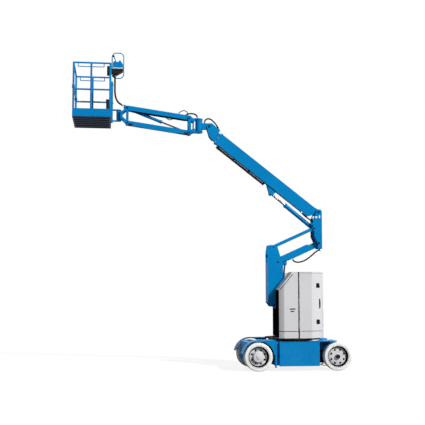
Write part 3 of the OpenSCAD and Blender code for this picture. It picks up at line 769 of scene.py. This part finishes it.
def bolts(name: str, centres: Points, axis: Sequence[float], across: float,
          washer: bool = True) -> bpy.types.Object:
    """Builds hexagon heads, each on a washer if it has one, at several places.

    Args:
        name: the object's name.
        centres: places on the surface in metres, shape (k, 3).
        axis: direction in which the heads stand out.
        across: size over the corners in millimetres.
        washer: whether each head has a washer.

    Returns:
        The new object.
    """
    r, foot = across / 2.0, 2.0 if washer else 0.0
    profile = [(0, foot - 0.5), (r, foot - 0.5), (r, foot + 0.55 * r), (0.86 * r, foot + 0.72 * r),
               (0.0, foot + 0.72 * r)]
    head = lathe(name, centres, axis, profile, sides=6, turn=15.0)
    if not washer:
        return head
    disc = [(0, -0.5), (1.45 * r, -0.5), (1.45 * r, 1.6), (1.35 * r, foot), (0.0, foot)]
    ring = lathe(name + "_washers", centres, axis, disc, sides=18)
    return joined(name, [head, ring])


class Side(Enum):
    """The machine's two sides, by the sign of Y."""

    NEAR = -1
    FAR = 1

    @property
    def out(self) -> Points:
        """Direction that points out of this side."""
        return np.array([0.0, float(self.value), 0.0])

    @property
    def tag(self) -> str:
        """This side's name in the pieces' names."""
        return self.name.lower()


def side_bolts(name: str, side: Side, out: float, xz: Sequence[Sequence[float]] | Points, across: float,
               finish: Finish, body: str, washer: bool = True) -> None:
    """Sets bolts on an upright face of one side.

    Args:
        name: the piece's name, before the side's.
        side: which side.
        out: distance of the face from the machine's middle in millimetres.
        xz: their places x and z in millimetres.
        across: size over a head's corners in millimetres.
        finish: what they wear.
        body: the body that they ride on.
        washer: whether each head has a washer.
    """
    places = line_at(xz, side.value * out)
    dressed(bolts(f"{name}_{side.tag}", places, side.out, across, washer), finish, body)


class Pin(Enum):
    """The pins that show: place x and z, half the width over the ends, radius, and the body that has them."""

    ARM_FOOT = (459.0, 897.0, 162.0, 24.0, "turntable")
    LINK_FOOT = (559.0, 1087.0, 180.0, 18.0, "turntable")
    MID_LOW = (-406.4, 1291.4, 143.0, 24.0, "mid_pivot")
    MID_LINK = (-306.4, 1481.4, 186.0, 18.0, "mid_pivot")
    MID_ARM = (-309.0, 2167.0, 143.0, 20.0, "mid_pivot")
    MID_TOP = (-406.0, 2470.0, 135.0, 18.0, "mid_pivot")
    HEAD_ARM = (556.4, 2561.3, 136.0, 24.0, "upper_pivot")
    HEAD_LINK = (459.4, 2864.3, 136.0, 20.0, "upper_pivot")
    BOOM_FOOT = (553.0, 3201.9, 136.0, 26.0, "upper_pivot")
    BOOM_HEAD = (-1716.3, 4962.2, 98.0, 24.0, "extension")
    JIB_UPPER = (-2131.3, 5122.2, 110.0, 20.0, "jib_rotator")
    JIB_LOWER = (-2131.3, 4817.2, 110.0, 18.0, "jib_rotator")
    END_UPPER = (-3405.8, 5301.3, 110.0, 20.0, "jib_end")
    END_LOWER = (-3405.8, 4996.3, 110.0, 18.0, "jib_end")

    def end(self, side: Side) -> Points:
        """Gives the middle of the pin's end face on one side, in metres."""
        x, z, half, _, _ = self.value
        return at(x, side.value * half, z)

    @property
    def xz(self) -> Points:
        """The pin's place x and z in millimetres."""
        return np.array(self.value[:2])


BOOM_DEG = 37.8


def boom_at(along: float, up: float) -> Points:
    """Gives a place on the boom, by millimetres along it from its foot and square to it, as x and z."""
    c, s = math.cos(math.radians(BOOM_DEG)), math.sin(math.radians(BOOM_DEG))
    return Pin.BOOM_FOOT.xz + along * np.array([-c, s]) + up * np.array([s, c])


@dataclass
class Hose:
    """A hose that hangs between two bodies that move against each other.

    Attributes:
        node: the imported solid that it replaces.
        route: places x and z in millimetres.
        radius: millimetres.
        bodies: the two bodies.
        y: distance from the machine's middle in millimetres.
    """

    node: str
    route: Points
    radius: float
    bodies: tuple[str, str]
    y: float = 0.0

    def build(self) -> None:
        """Makes the hose and its two end ferrules."""
        line = smooth_line(line_at(self.route, self.y), 3)
        obj = sweep(self.node + "_tube", line, ACROSS, circle(self.radius / 1000.0, 20))
        dressed(obj, RUBBER)
        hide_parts(self.node)
        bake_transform(obj)
        r, sunk = self.radius, 0.004
        ferrule = [(0, 0), (r + 2, 0), (r + 3, 2), (r + 3, 20), (r + 1.5, 22), (r + 3, 24), (r + 3, 30),
                   (r + 0.5, 32), (0, 32)]
        for tag, body, end, inner in (("first", self.bodies[0], line[0], line[1]),
                                      ("last", self.bodies[1], line[-1], line[-2])):
            step = inner - end
            foot = end - sunk * step / np.linalg.norm(step)
            dressed(lathe(f"{self.node}_{tag}_ferrule", foot, step, ferrule, 24), ZINC, body)


@dataclass
class Hoses:
    """The hoses that show.

    Attributes:
        stand: place x and z over the control stand's cable, at the rail's height, in millimetres.
        thin: radius of the thinner hoses in millimetres.
        thick: radius of the control cable.
    """

    stand: tuple[float, float] = (-3664.3, 6097.3)
    thin: float = 15.0
    thick: float = 18.0

    def build(self) -> None:
        """Makes each hose from its route."""
        guide = Pin.END_UPPER.xz + np.array([-60.0, 35.0])
        upper, head = Pin.JIB_UPPER.xz, Pin.BOOM_HEAD.xz
        mid, top = Pin.MID_ARM.xz, Pin.HEAD_ARM.xz
        fall = np.array([[0, -124], [0, -200], [0, -290], [0, -380], [2, -470], [12, -550], [34, -620],
                         [68, -676], [110, -712]]) + np.array(self.stand)
        over = upper + np.array([[-72, 74], [-30, 94], [20, 104], [75, 104], [128, 88], [158, 58]])
        hump = head + np.array([[-98, 77], [-92, 116], [-62, 152], [-14, 166], [40, 150], [94, 104],
                                [140, 52]])
        sag = mid + np.array([[336, 57], [350, 28], [392, 4], [470, 0], [560, 24], [650, 74], [735, 140],
                              [810, 206], [870, 244]])
        rise = top + np.array([[28, 400], [-36, 392], [-126, 448], [-226, 518], [-306, 578]])
        rotator = [upper[0] + 172, head[1] + 174]
        for node, route, last, radius, bodies, y in (
            ("control_cable", fall, guide + [-26, 14], self.thick, ("platform", "jib_end"), -40.0),
            ("jib_hose", over, rotator, self.thin, ("jib_upper", "jib_rotator"), 0.0),
            ("head_hose", hump, boom_at(2668, 81), self.thin, ("jib_base", "extension"), 0.0),
            ("riser_hose", sag, top + [55, -138], self.thin, ("upper_arm", "upper_pivot"), 0.0),
            ("boom_hose", rise, boom_at(280, -220), self.thin, ("upper_pivot", "boom"), -64.0),
        ):
            Hose(node, np.vstack([route, last]), radius, bodies, y).build()


@dataclass
class Wheel:
    """A wheel's tyre and rim with its nuts, hub cap, sidewall rings, lip, a black ring of painted shade in the
    rim's recess, and valve.

    Attributes:
        body: the body that turns.
        x: place of its axle in millimetres.
        side: which side it is on.
        driven: whether a motor turns it.
        middle: distance of its middle plane from the machine's middle in millimetres.
        radius: of the tread, which is the axle's height too.
        seat: radius at which the tyre sits on the rim.
        half: half the tyre's width.
    """

    body: str
    x: float
    side: Side
    driven: bool
    middle: float = 506.0
    radius: float = 280.0
    seat: float = 222.0
    half: float = 87.0

    def face(self, out: float, radius: float = 0.0, count: int = 1) -> Points:
        """Gives places on a ring about the axle, a distance out of the wheel's middle plane.

        Args:
            out: millimetres outward from the middle plane.
            radius: of the ring in millimetres.
            count: how many places.

        Returns:
            The places in metres.
        """
        a = np.arange(count) * 2.0 * np.pi / count + 0.39
        ring = np.stack([self.x + radius * np.cos(a), self.radius + radius * np.sin(a)], -1)
        return line_at(ring, self.side.value * (self.middle + out))

    def turned(self, name: str, out: float, section: Section, finish: Finish, sides: int = 96,
               ring: float = 0.0) -> None:
        """Turns a section about the axle, or about one place on a ring round it.

        Args:
            name: the piece's name after the body's.
            out: where the section's height 0 lies, in millimetres outward from the middle plane.
            section: pairs of radius and height in millimetres.
            finish: what it wears.
            sides: how many sides the round has.
            ring: radius of the ring in millimetres.
        """
        obj = lathe(f"{self.body}_{name}", self.face(out, ring), self.side.out, section, sides)
        dressed(obj, finish, self.body)

    def tyre(self) -> None:
        """Makes the tyre's surface.

        Its radius at angle a and width h is R - b(h) - g(h) - d n(a) e(h): R is the tread's radius, b the
        round of the two shoulders, g the groove in the middle, and d the depth of the notches n that are cut
        round the tread's edges e.
        """
        half, soft, count, notches = self.half, 20.0, 288, 36
        round_off = half - soft * (1.0 - np.cos(np.linspace(np.pi / 2, 0.15, 8)))
        right = np.concatenate([[5.0, 8.0, 40.0, 44.0], round_off, [half]])
        h = np.concatenate([-right[::-1], right])
        edge = np.clip((np.abs(h) - (half - soft)) / soft, 0.0, 1.0)
        shoulder = 0.9 * soft * (1.0 - np.sqrt(np.maximum(1.0 - edge ** 2, 0.0)))
        groove = np.where(np.abs(h) < 6.0, 3.0, 0.0)
        a = np.linspace(0.0, 2.0 * np.pi, count, endpoint=False)
        notch = np.clip(4.0 * np.cos(a * notches) - 2.6, 0.0, 1.0)
        cut = 3.5 * notch[None] * np.clip((np.abs(h)[:, None] - 40.0) / 4.0, 0.0, 1.0)
        tread = self.radius - shoulder[:, None] - groove[:, None] - cut
        inner = np.full((1, count), self.seat)
        r = np.concatenate([inner, tread, inner]) / 1000.0
        wide = self.side.value * np.concatenate([[1.0 - half], h, [half - 1.0]]) / 1000.0
        round_about = [r * np.cos(a), np.broadcast_to(wide[:, None], r.shape), r * np.sin(a)]
        points = np.stack(round_about, -1) + self.face(0.0)[0]
        obj = mesh_from_grid(self.body + "_tyre", points)
        dressed(obj, TYRE, self.body)
        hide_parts(self.body.replace("wheel", "tyre"))

    def rim(self) -> None:
        """Turns the rim's section round the axle."""
        barrel = [(205, 2), (205, -82), (self.seat, -82), (self.seat, 82), (205, 82), (205, 18)]
        if self.driven:
            section = [(60, -40), (100, -40), (100, 2), *barrel, (118, 18), (104, 60), (101, 64), (96, 66),
                       (0, 66)]
        else:
            section = [(40, -52), (70, -52), (70, 10), (110, 22), *barrel, (112, 40), (52, 34), (48, 62),
                       (40, 68), (0, 68)]
        obj = lathe(self.body + "_rim", self.face(0.0), self.side.out, section, 96)
        soft = obj.modifiers.new("soft_edges", "BEVEL")
        soft.width, soft.segments, soft.angle_limit = 0.002, 2, math.radians(30.0)
        dressed(obj, RIM, self.body, 30.0)
        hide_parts(self.body.replace("wheel", "rim"))

    def build(self) -> None:
        """Makes the wheel's pieces."""
        self.tyre()
        self.rim()
        if self.driven:
            ring, rise, painted_shade_rise, cap_finish = 138.0, 17.5, 18.6, RIM
            cap = [(0, -1), (46, -1), (46, 5), (42, 9), (18, 11), (15, 15), (0, 15)]
        else:
            ring, rise, painted_shade_rise, cap_finish = 134.0, 34.4, 25.6, BLACK
            cap = [(0, -3), (43, -3), (43, 6), (36, 13), (16, 17), (0, 17.5)]
        nuts = bolts(self.body + "_nuts", self.face(rise, ring, 8), self.side.out, 30.0)
        dressed(nuts, BLACK, self.body)
        self.turned("hub_cap", 66.0, cap, cap_finish, 40)
        for r, w in ((243.0, 5.0), (229.0, 3.0)):
            bead = [(r - w, -1.0), (r - 0.6 * w, 1.3), (r, 1.8), (r + 0.6 * w, 1.3), (r + w, -1.0)]
            self.turned(f"sidewall_ring_{int(r)}", self.half, bead, TYRE)
        lip = [(204, 80), (206, 84.5), (211, 86.5), (217, 86.5), (221, 84.5), (self.seat, 80)]
        self.turned("rim_lip", 0.0, lip, RIM)
        # A black matt ring over the disc's outer edge and up the barrel's inner wall: painted shade for the
        # shadow in the rim's recess.
        painted_shade_ring = [(176, 17.0), (176, painted_shade_rise), (203, 19.4), (203.6, 79.5), (205.4, 79.5), (205.4, 17.0),
                (176, 17.0)]
        self.turned("rim_well", 0.0, painted_shade_ring, BLACK_MATT_AND_PAINTED_SHADE)
        stem = [(0, 0), (4.5, 0), (4.5, 16), (6.5, 17), (6.5, 30), (5, 33), (0, 33)]
        self.turned("valve", 17.0, stem, PLASTIC, 16, 180.0)


@dataclass
class Pins:
    """The dark faces on the pins' ends."""

    def build(self) -> None:
        """Makes a face with a small hollow on both ends of each pin."""
        for pin in Pin:
            _, _, _, r, body = pin.value
            face = [(0, -1), (r - 0.5, -1), (r - 0.5, 1), (r - 3, 3.0), (5, 3.0), (4, 1.0), (0, 1.0)]
            for side in Side:
                name = f"{pin.name.lower()}_{side.tag}_pin_face"
                dressed(lathe(name, pin.end(side), side.out, face, 32), DARK_BLUE_AND_PAINTED_SHADE, body)


@dataclass
class Covers:
    """One moulded cover's seams, latches, grip, slots and black front panel.

    Attributes:
        side: which side it is on.
        front: place of its front face in millimetres.
        tail: radius of its round tail.
        wide: distance of its flat outer face from the machine's middle.
        inner: distance of the front panel's inner edge from the middle.
        foot: height of its lower edge.
        skirt: height of the seam over the skirt.
        top: height of its upper edge.
        seam: place of the upright seam.
    """

    side: Side
    front: float
    tail: float = 640.0
    wide: float = 580.0
    inner: float = 210.0
    foot: float = 640.0
    skirt: float = 777.0
    top: float = 1957.0
    seam: float = 22.0

    @property
    def tag(self) -> str:
        """The cover's name in the pieces' names."""
        return f"cover_{self.side.tag}"

    def skin(self, x: np.ndarray, z: np.ndarray, lift: float = 0.0) -> Points:
        """Gives places on the outer skin: the flat face, or the tail's round where that lies further in.

        Args:
            x: places along the machine in millimetres.
            z: heights in millimetres.
            lift: millimetres that the places stand off the skin.

        Returns:
            The places in metres.
        """
        y = np.minimum(self.wide, np.sqrt(np.maximum(self.tail ** 2 - np.square(x), 0.0))) + lift
        return np.stack([x, self.side.value * y, z], -1) / 1000.0 + SHIFT

    def normal(self, x: np.ndarray) -> Points:
        """Gives the skin's outward direction.

        Args:
            x: places along the machine in millimetres.

        Returns:
            One unit vector for each place.
        """
        bend = np.abs(x) > math.sqrt(self.tail ** 2 - self.wide ** 2)
        nx = np.where(bend, x / self.tail, 0.0)
        return np.stack([nx, self.side.value * np.sqrt(1.0 - nx ** 2), np.zeros_like(nx)], -1)

    def line(self, name: str, x: np.ndarray | float, z: np.ndarray | float, width: float) -> None:
        """Lays a dark flat strip on the skin along places.

        Args:
            name: the piece's name.
            x: places along the machine in millimetres.
            z: heights in millimetres.
            width: of the strip in millimetres.
        """
        rise, sunk = 1.6, 0.6
        x, z = np.broadcast_arrays(x, z)
        path = self.skin(x, z, rise / 2 - sunk)
        t = np.gradient(path, axis=0)
        across = np.cross(self.normal(x), t / np.linalg.norm(t, axis=1, keepdims=True))
        strip = sweep(f"{self.tag}_{name}", path, across, oblong(rise / 1000.0, width / 1000.0))
        dressed(strip, GASKET, "turntable")

    def pad(self, name: str, x: float, z: float, size: tuple[float, float, float], radius: float,
            bevel: float, finish: Finish, body: str, lift: float = -0.5) -> None:
        """Sets a rounded plate flat on the skin.

        Args:
            name: the piece's name.
            x: its middle along the machine in millimetres.
            z: its middle's height.
            size: width, height and thickness in millimetres.
            radius: of its corners.
            bevel: of its edges.
            finish: what it wears.
            body: the body that it rides on.
            lift: millimetres that its foot stands off the skin.
        """
        n = self.normal(np.array([x]))[0]
        u = np.cross(UPRIGHT, n)
        middle = self.skin(np.array([x]), np.array([z]))[0] + lift / 1000.0 * n
        plate = slab(f"{self.tag}_{name}", middle, u, (0.0, 0.0, 1.0), size, radius, bevel)
        dressed(plate, finish, body)

    def build(self) -> None:
        """Makes the small pieces of one cover and its door."""
        door, edge = f"door_{self.side.tag}", self.front + 4.0
        low, high = self.foot + 2, self.top - 2
        slope = np.linspace(0.0, 1.0, 24)
        self.line("skirt_seam", np.linspace(edge, self.seam, 40), self.skirt, 12.0)
        self.line("foot_seam", self.seam, np.linspace(low, self.skirt + 4, 8), 13.0)
        self.line("head_seam", self.seam, np.linspace(self.top - 19, high, 8), 13.0)
        self.line("upright_seam", self.seam - 14.0, np.linspace(low, high, 30), 14.0)
        self.line("skirt_lip", np.linspace(self.seam + 14.0, 556.0, 48), self.skirt - 6.0, 4.0)
        self.line("slope_seam", edge + 20 + 242 * slope, self.top - 352 + 300 * slope, 13.0)
        latch, grip, grip_z = 428.0, 472.0, 1322.0
        for z in (1685.0, 962.0):
            self.pad(f"latch_plate_{int(z)}", latch, z, (112, 92, 8), 16, 3, RUBBER, door)
            self.pad(f"latch_grip_{int(z)}", latch, z + 6, (40, 70, 18), 16, 6, RUBBER, door, 5.0)
            self.pad(f"latch_bar_{int(z)}", latch, z - 22, (92, 24, 16), 10, 5, RUBBER, door, 5.0)
        self.pad("grip_plate", grip, grip_z, (44, 196, 5), 20, 2, PLASTIC, door)
        self.pad("grip_rail", grip, grip_z, (18, 150, 16), 9, 6, PLASTIC, door, 3.0)
        for z, width in ((1218.0, 116.0), (1170.0, 76.0)):
            self.pad(f"slot_{int(z)}", -116.0, z, (width, 20, 3), 8, 1, GASKET, "turntable")
        self.front_panel()

    def front_panel(self) -> None:
        """Makes the black moulded panel of the front face with its ribs."""
        outer = min(self.wide, math.sqrt(self.tail ** 2 - self.front ** 2))
        low, high = self.foot + 8, self.top - 362
        y, wide = self.side.value * (self.inner + outer) / 2, outer - self.inner - 10
        across = (0.0, -float(self.side.value), 0.0)
        up = (0.0, 0.0, float(self.side.value))
        name = f"{self.tag}_front_panel"
        panel = slab(name, at(self.front + 1, y, (low + high) / 2), across, up, (wide, high - low, 6), 18, 2.5)
        ribs = [slab("rib", at(self.front - 4.4, y, z), across, up, (wide - 60, 14, 4), 6, 2)
                for z in np.linspace(low + 90, high - 90, 9)]
        dressed(joined(name, [panel, *ribs]), BLACK_MATT_AND_PAINTED_SHADE, "turntable")


@dataclass
class Chassis:
    """The side panels' lips and bolts and the deck's gritty pad.

    Attributes:
        panel: distance of the side panels' faces from the middle in millimetres.
        high: height of the panels' upper edge.
        deck: height of the deck.
    """

    panel: float = 590.0
    high: float = 575.0
    deck: float = 561.0

    def build(self) -> None:
        """Makes the chassis' small pieces on both sides."""
        for side in Side:
            edge = [(x, self.high - 7.0) for x in np.linspace(-380, 421, 24)]
            lip = sweep(f"panel_lip_{side.tag}", line_at(edge, side.value * self.panel), UPRIGHT,
                        oblong(0.006, 0.012))
            dressed(lip, BLUE, "chassis")
            corners = [(x, z) for x in (-352, 396) for z in (132, 540)]
            side_bolts("panel_bolts", side, self.panel, corners, 13, BLUE, "chassis", False)
            post = [(-438, z) for z in (110, 330, 548)]
            side_bolts("post_bolts", side, self.panel, post, 12, ZINC, "chassis", False)
        pad = slab("deck_pad_drive", at(-700.0, 0.0, self.deck), (1, 0, 0), (0, 1, 0), (420, 460, 3), 20, 1)
        dressed(pad, GRIP, "chassis")


@dataclass
class Boom:
    """The boom's mouth and heel bolts, and its track's links and clamp bolts.

    Attributes:
        tube: half the tube's width in millimetres.
        down: distance of the tube's underside from the line through its foot pin.
        links: how far the track's links hang under the tube.
        clamps: how far the clamps' faces hang under the tube.
    """

    tube: float = 75.0
    down: float = 203.0
    links: float = 51.0
    clamps: float = 56.0

    def place(self, along: float, y: float, up: float) -> Points:
        """Gives a place on the boom in metres, by millimetres along, aside and up."""
        x, z = boom_at(along, up)
        return at(x, y, z)

    def build(self) -> None:
        """Makes the boom's small pieces."""
        c, s = math.cos(math.radians(BOOM_DEG)), math.sin(math.radians(BOOM_DEG))
        along, up = np.array([-c, 0, s]), np.array([s, 0, c])
        for side in Side:
            mouth = [boom_at(2580, n) for n in (12, -85, -182)]
            side_bolts("mouth_bolts", side, self.tube + 8, mouth, 17, ZINC, "boom")
            heel = [boom_at(m, n) for m in (210, 330) for n in (12, -160)]
            side_bolts("heel_bolts", side, self.tube, heel, 15, BLUE, "boom")
        low = -self.down - self.links
        links = [slab("link", self.place(m, 0.0, low), along, (0, 1, 0), (24, 76, 8), 6, 2, 3)
                 for m in np.arange(1262.0, 2490.0, 30.0)]
        dressed(joined("track_links", links), PLASTIC, "boom")
        clamps = [self.place(m, y, -self.down - self.clamps) for m in np.arange(1257.0, 2458.0, 400.0)
                  for y in (-32.0, 32.0)]
        dressed(bolts("track_clamp_bolts", np.array(clamps), -up, 14), ZINC, "boom")


@dataclass
class Riser:
    """The bent pipe with its clips and the bolts of the folding riser.

    Attributes:
        mid: distance of the mid pivot's outer faces from the machine's middle in millimetres.
        head: distance of the upper pivot's outer faces.
        upright: distance of the turntable's uprights' outer faces.
    """

    mid: float = 135.0
    head: float = 128.0
    upright: float = 154.0

    def build(self) -> None:
        """Makes the riser's small pieces."""
        bend = [(440, 2812), (440, 2760), (446, 2700), (472, 2632), (504, 2572), (516, 2520), (516, 2490)]
        pipe = sweep("pivot_pipe", smooth_line(line_at(bend, -140.0), 6), ACROSS, circle(0.011, 16))
        dressed(pipe, RUBBER, "upper_pivot")
        clips = [slab("clip", at(x, -self.head, z), (1, 0, 0), (0, 0, 1), (34, 16, 24), 7, 2)
                 for x, z in ((441, 2745), (489, 2597))]
        dressed(joined("pivot_pipe_clips", clips), BLACK, "upper_pivot")
        for side in Side:
            mid = [(-458, 2230), (-458, 1420), (-330, 2300), (-250, 1700)]
            side_bolts("mid_pivot_bolts", side, self.mid, mid, 17, BLUE, "mid_pivot")
            head = [(596, 2500), (596, 2700), (596, 2900), (540, 3090)]
            side_bolts("upper_pivot_bolts", side, self.head, head, 17, BLUE, "upper_pivot")
            foot = [(440, 665), (520, 665), (580, 665), (580, 760)]
            side_bolts("upright_bolts", side, self.upright, foot, 22, ZINC, "turntable")


@dataclass
class Jib:
    """The jib's pipes, trays, rubber stops and the bolts, caps and bands of its turning motor.

    Attributes:
        motor: place x and z of the motor's middle in millimetres.
        degrees: how far the beams rise toward the platform.
    """

    motor: tuple[float, float] = (-1931.3, 4962.2)
    degrees: float = 8.0

    def place(self, pin: Pin, along: float, up: float) -> Points:
        """Gives a place x and z by millimetres from a pin, along the beams and square to them."""
        c, s = math.cos(math.radians(self.degrees)), math.sin(math.radians(self.degrees))
        return pin.xz + along * np.array([-c, s]) + up * np.array([s, c])

    def plate(self, name: str, place: Points, y: float, v: Sequence[float],
              size: tuple[float, float, float], radius: float, bevel: float) -> bpy.types.Object:
        """Makes a rounded plate that lies along the beams.

        Args:
            name: the object's name.
            place: its middle x and z in millimetres.
            y: its distance from the machine's middle.
            v: the direction of its width.
            size: length, width and thickness in millimetres.
            radius: of its corners.
            bevel: of its edges.

        Returns:
            The new object.
        """
        c, s = math.cos(math.radians(self.degrees)), math.sin(math.radians(self.degrees))
        return slab(name, at(place[0], y, place[1]), (-c, 0, s), v, size, radius, bevel)

    def turning_motor(self) -> None:
        """Makes the motor's bolts, caps and bands."""
        x, z = self.motor
        ring = np.arange(8) * np.pi / 4 + 0.2
        cap = [(0, -1), (34, -1), (34, 8), (30, 12), (0, 12)]
        band = [(74, -6), (78.5, -5), (79.5, -3), (79.5, 3), (78.5, 5), (74, 6)]
        for name, height, out in (("top", z + 157, 1.0), ("bottom", z - 137, -1.0)):
            places = np.array([at(x + 56 * math.cos(a), 56 * math.sin(a), height) for a in ring])
            dressed(bolts(f"motor_bolts_{name}", places, (0, 0, out), 15), ZINC, "jib_rotator")
            lid = lathe(f"motor_cap_{name}", at(x, 0, height), (0, 0, out), cap, 32)
            dressed(lid, BLACK, "jib_rotator")
        for name, height in (("low", z - 103), ("high", z + 117)):
            hoop = lathe(f"motor_band_{name}", at(x, 0, height), (0, 0, 1), band, 64)
            dressed(hoop, BLUE, "jib_base")

    def pipes(self) -> None:
        """Makes the straight pipes on their trays and the bent pipes."""
        straight = [self.place(Pin.JIB_UPPER, m, -51.0) for m in np.linspace(70.0, 1180.0, 24)]
        parts = [sweep("pipe", line_at(straight, y), ACROSS, circle(0.0056, 12))
                 for y in (-62.0, -50.5, 50.5, 62.0)]
        for middle, y, size in ((280.0, 0.0, (440, 132, 4)), (840.0, -56.0, (680, 22, 4)),
                                (840.0, 56.0, (680, 22, 4))):
            tray = self.place(Pin.JIB_UPPER, middle, -42.0)
            parts.append(self.plate("tray", tray, y, (0, 1, 0), size, 3, 1))
        dressed(joined("jib_pipes", parts), RUBBER, "jib_upper")
        loops = []
        for y, bend in (
            (-54.0, [(1250, 20), (1205, -20), (1130, -58), (1040, -71), (955, -73), (890, -62), (850, -40)]),
            (-31.0, [(490, -40), (452, -82), (405, -98), (358, -82), (320, -40)]),
            (32.0, [(236, 40), (214, 100), (160, 146), (96, 152), (46, 112), (30, 44)]),
        ):
            turned = [self.place(Pin.JIB_UPPER, m, n) for m, n in bend]
            loops.append(sweep("loop", smooth_line(line_at(turned, y), 6), ACROSS, circle(0.009, 12)))
        dressed(joined("jib_bent_pipes", loops), RUBBER, "jib_upper")

    def build(self) -> None:
        """Makes the jib's small pieces."""
        self.turning_motor()
        self.pipes()
        stops = [self.plate("stop", self.place(pin, step, -41.0), y, (0, -1, 0), (96, 34, 34), 8, 5)
                 for pin, step in ((Pin.END_LOWER, -70.0), (Pin.JIB_LOWER, 70.0)) for y in (-60.0, 60.0)]
        dressed(joined("jib_stops", stops), RUBBER, "jib_lower")


@dataclass
class Platform:
    """The platform's rivets, boxes and the control stand.

    Attributes:
        left: its far left face in millimetres.
        right: its face toward the jib.
        wide: distance of its outer faces from the middle.
        low: underside.
        high: top of the rail.
    """

    left: float = -4496.3
    right: float = -3736.3
    wide: float = 585.0
    low: float = 4987.3
    high: float = 6097.3

    def build(self) -> None:
        """Makes the platform's small pieces."""
        rows = (self.low + 32, self.low + 152)
        for side in Side:
            places = [(x, z) for x in np.linspace(self.left + 45, self.right - 45, 5) for z in rows]
            side_bolts("toe_board_rivets", side, self.wide, places, 11, BLUE, "platform", False)
        for name, x, out in (("left", self.left, -1.0), ("right", self.right, 1.0)):
            places = np.array([at(x, y, z) for y in (-480, -240, 240, 480) for z in rows])
            dressed(bolts(f"toe_board_rivets_{name}", places, (out, 0, 0), 11, False), BLUE, "platform")
        papers = [self.hung(f"papers_box{part}", x, -60, self.low + z, size, radius, bevel)
                  for part, x, z, size, radius, bevel in (
                      ("", -42, 355, (190, 200, 60), 14, 6), ("_lid", -40, 446, (198, 28, 66), 8, 4),
                      ("_back", -36, 300, (70, 296, 8), 6, 2), ("_foot", -7, 158, (70, 14, 36), 4, 2))]
        dressed(joined("papers_box", papers), PLASTIC, "platform")
        post = [at(self.right + 36, y, self.low + z) for y in (-44, 44) for z in (60, 420, 800)]
        dressed(bolts("mount_bolts", np.array(post), (1, 0, 0), 20), ZINC, "platform")
        self.control_case()
        self.control_tops()
        box = [self.hung("side_box", -40, 0, self.high - 22, (150, 176, 52), 16, 8),
               self.hung("side_box_hook", 2, 0, self.high + 12, (90, 30, 46), 6, 3)]
        dressed(joined("side_box", box), PLASTIC, "platform")

    def hung(self, name: str, x: float, y: float, z: float, size: tuple[float, float, float], radius: float,
             bevel: float) -> bpy.types.Object:
        """Makes a rounded box that stands on the face toward the jib and grows to the inside.

        Args:
            name: the object's name.
            x: place of its outer face from the platform's face in millimetres.
            y: its middle's distance from the machine's middle.
            z: its middle's height.
            size: width, height and depth in millimetres.
            radius: of its corners.
            bevel: of its edges.

        Returns:
            The new object.
        """
        return slab(name, at(self.right + x, y, z), (0, 1, 0), (0, 0, -1), size, radius, bevel)

    def control_case(self) -> None:
        """Makes the control stand's black lower case and its pale band."""
        x, z = self.right + 10, self.high
        lip = np.array([[14.5, -12.5], [223, -12.5], [223, -9.6], [14.5, -9.6]]) + np.array([x, z])
        lower = np.array([[15, -9.6], [15, -124], [61, -114], [140, -65], [222, -14], [222, -9.6],
                          [120, -9.6]]) + np.array([x, z])
        parts = [block_of("case", lower, -144, 144, 3.0), block_of("case_lip", lip, -149, 149, 1.0)]
        dressed(joined("control_lower_case", parts), PLASTIC, "platform")
        for name, place, u, length in (
            *((side.tag, (x + 119, side.value * 149.5), (-side.value, 0, 0), 204) for side in Side),
            ("end", (x + 223.5, 0), (0, 1, 0), 290),
        ):
            strip = slab(f"control_band_{name}", at(*place, z + 3), u, (0, 0, 1), (length, 20, 2.5), 6, 1)
            dressed(strip, RIM, "platform")

    def control_tops(self) -> None:
        """Makes the lever with its boot and the stop button on the control stand."""
        x, z = self.right + 10, self.high
        square = (-0.25, 0, 1)
        boot = [(0, 0), (30, 0), (29, 6), (24, 8), (25, 13), (19, 16), (20, 21), (13, 25), (0, 27)]
        dressed(lathe("lever_boot", at(x + 76, -60, z + 139), square, boot, 28), RUBBER, "platform")
        lean = np.array([[0, 0], [-9, 34], [-22, 70], [-38, 104]]) + np.array([x + 76, z + 150])
        path = smooth_line(line_at(lean, -60.0), 6)
        lever = sweep("lever", path, ACROSS, circle(0.0085, 14))
        knob = [(0, -4), (10, -4), (17, 4), (20, 18), (19, 32), (12, 43), (0, 46)]
        top = lathe("knob", path[-1], path[-1] - path[-4], knob, 24)
        dressed(joined("lever", [lever, top]), PLASTIC, "platform")
        stop = [(0, 0), (15, 0), (15, 12), (24, 15), (25, 21), (20, 27), (0, 29)]
        dressed(lathe("stop_button", at(x + 92, 70, z + 135), square, stop, 32), SIGNAL, "platform")


def main() -> None:
    """Builds the studio and the machine's pieces in order."""
    logging.basicConfig(level=logging.INFO, format="%(message)s")
    studio = Studio()
    studio.camera()
    Hoses().build()
    dress_frame()
    for body, x, driven in (("wheel_drive", -800.0, True), ("wheel_steer", 800.0, False)):
        for side in Side:
            Wheel(f"{body}_{side.tag}", x, side, driven).build()
    Covers(Side.NEAR, -376.0).build()
    Covers(Side.FAR, -290.0).build()
    for assembly in (Pins(), Chassis(), Riser(), Boom(), Jib(), Platform()):
        assembly.build()
    studio.floor()
    studio.light()


if __name__ == "__main__":
    main()
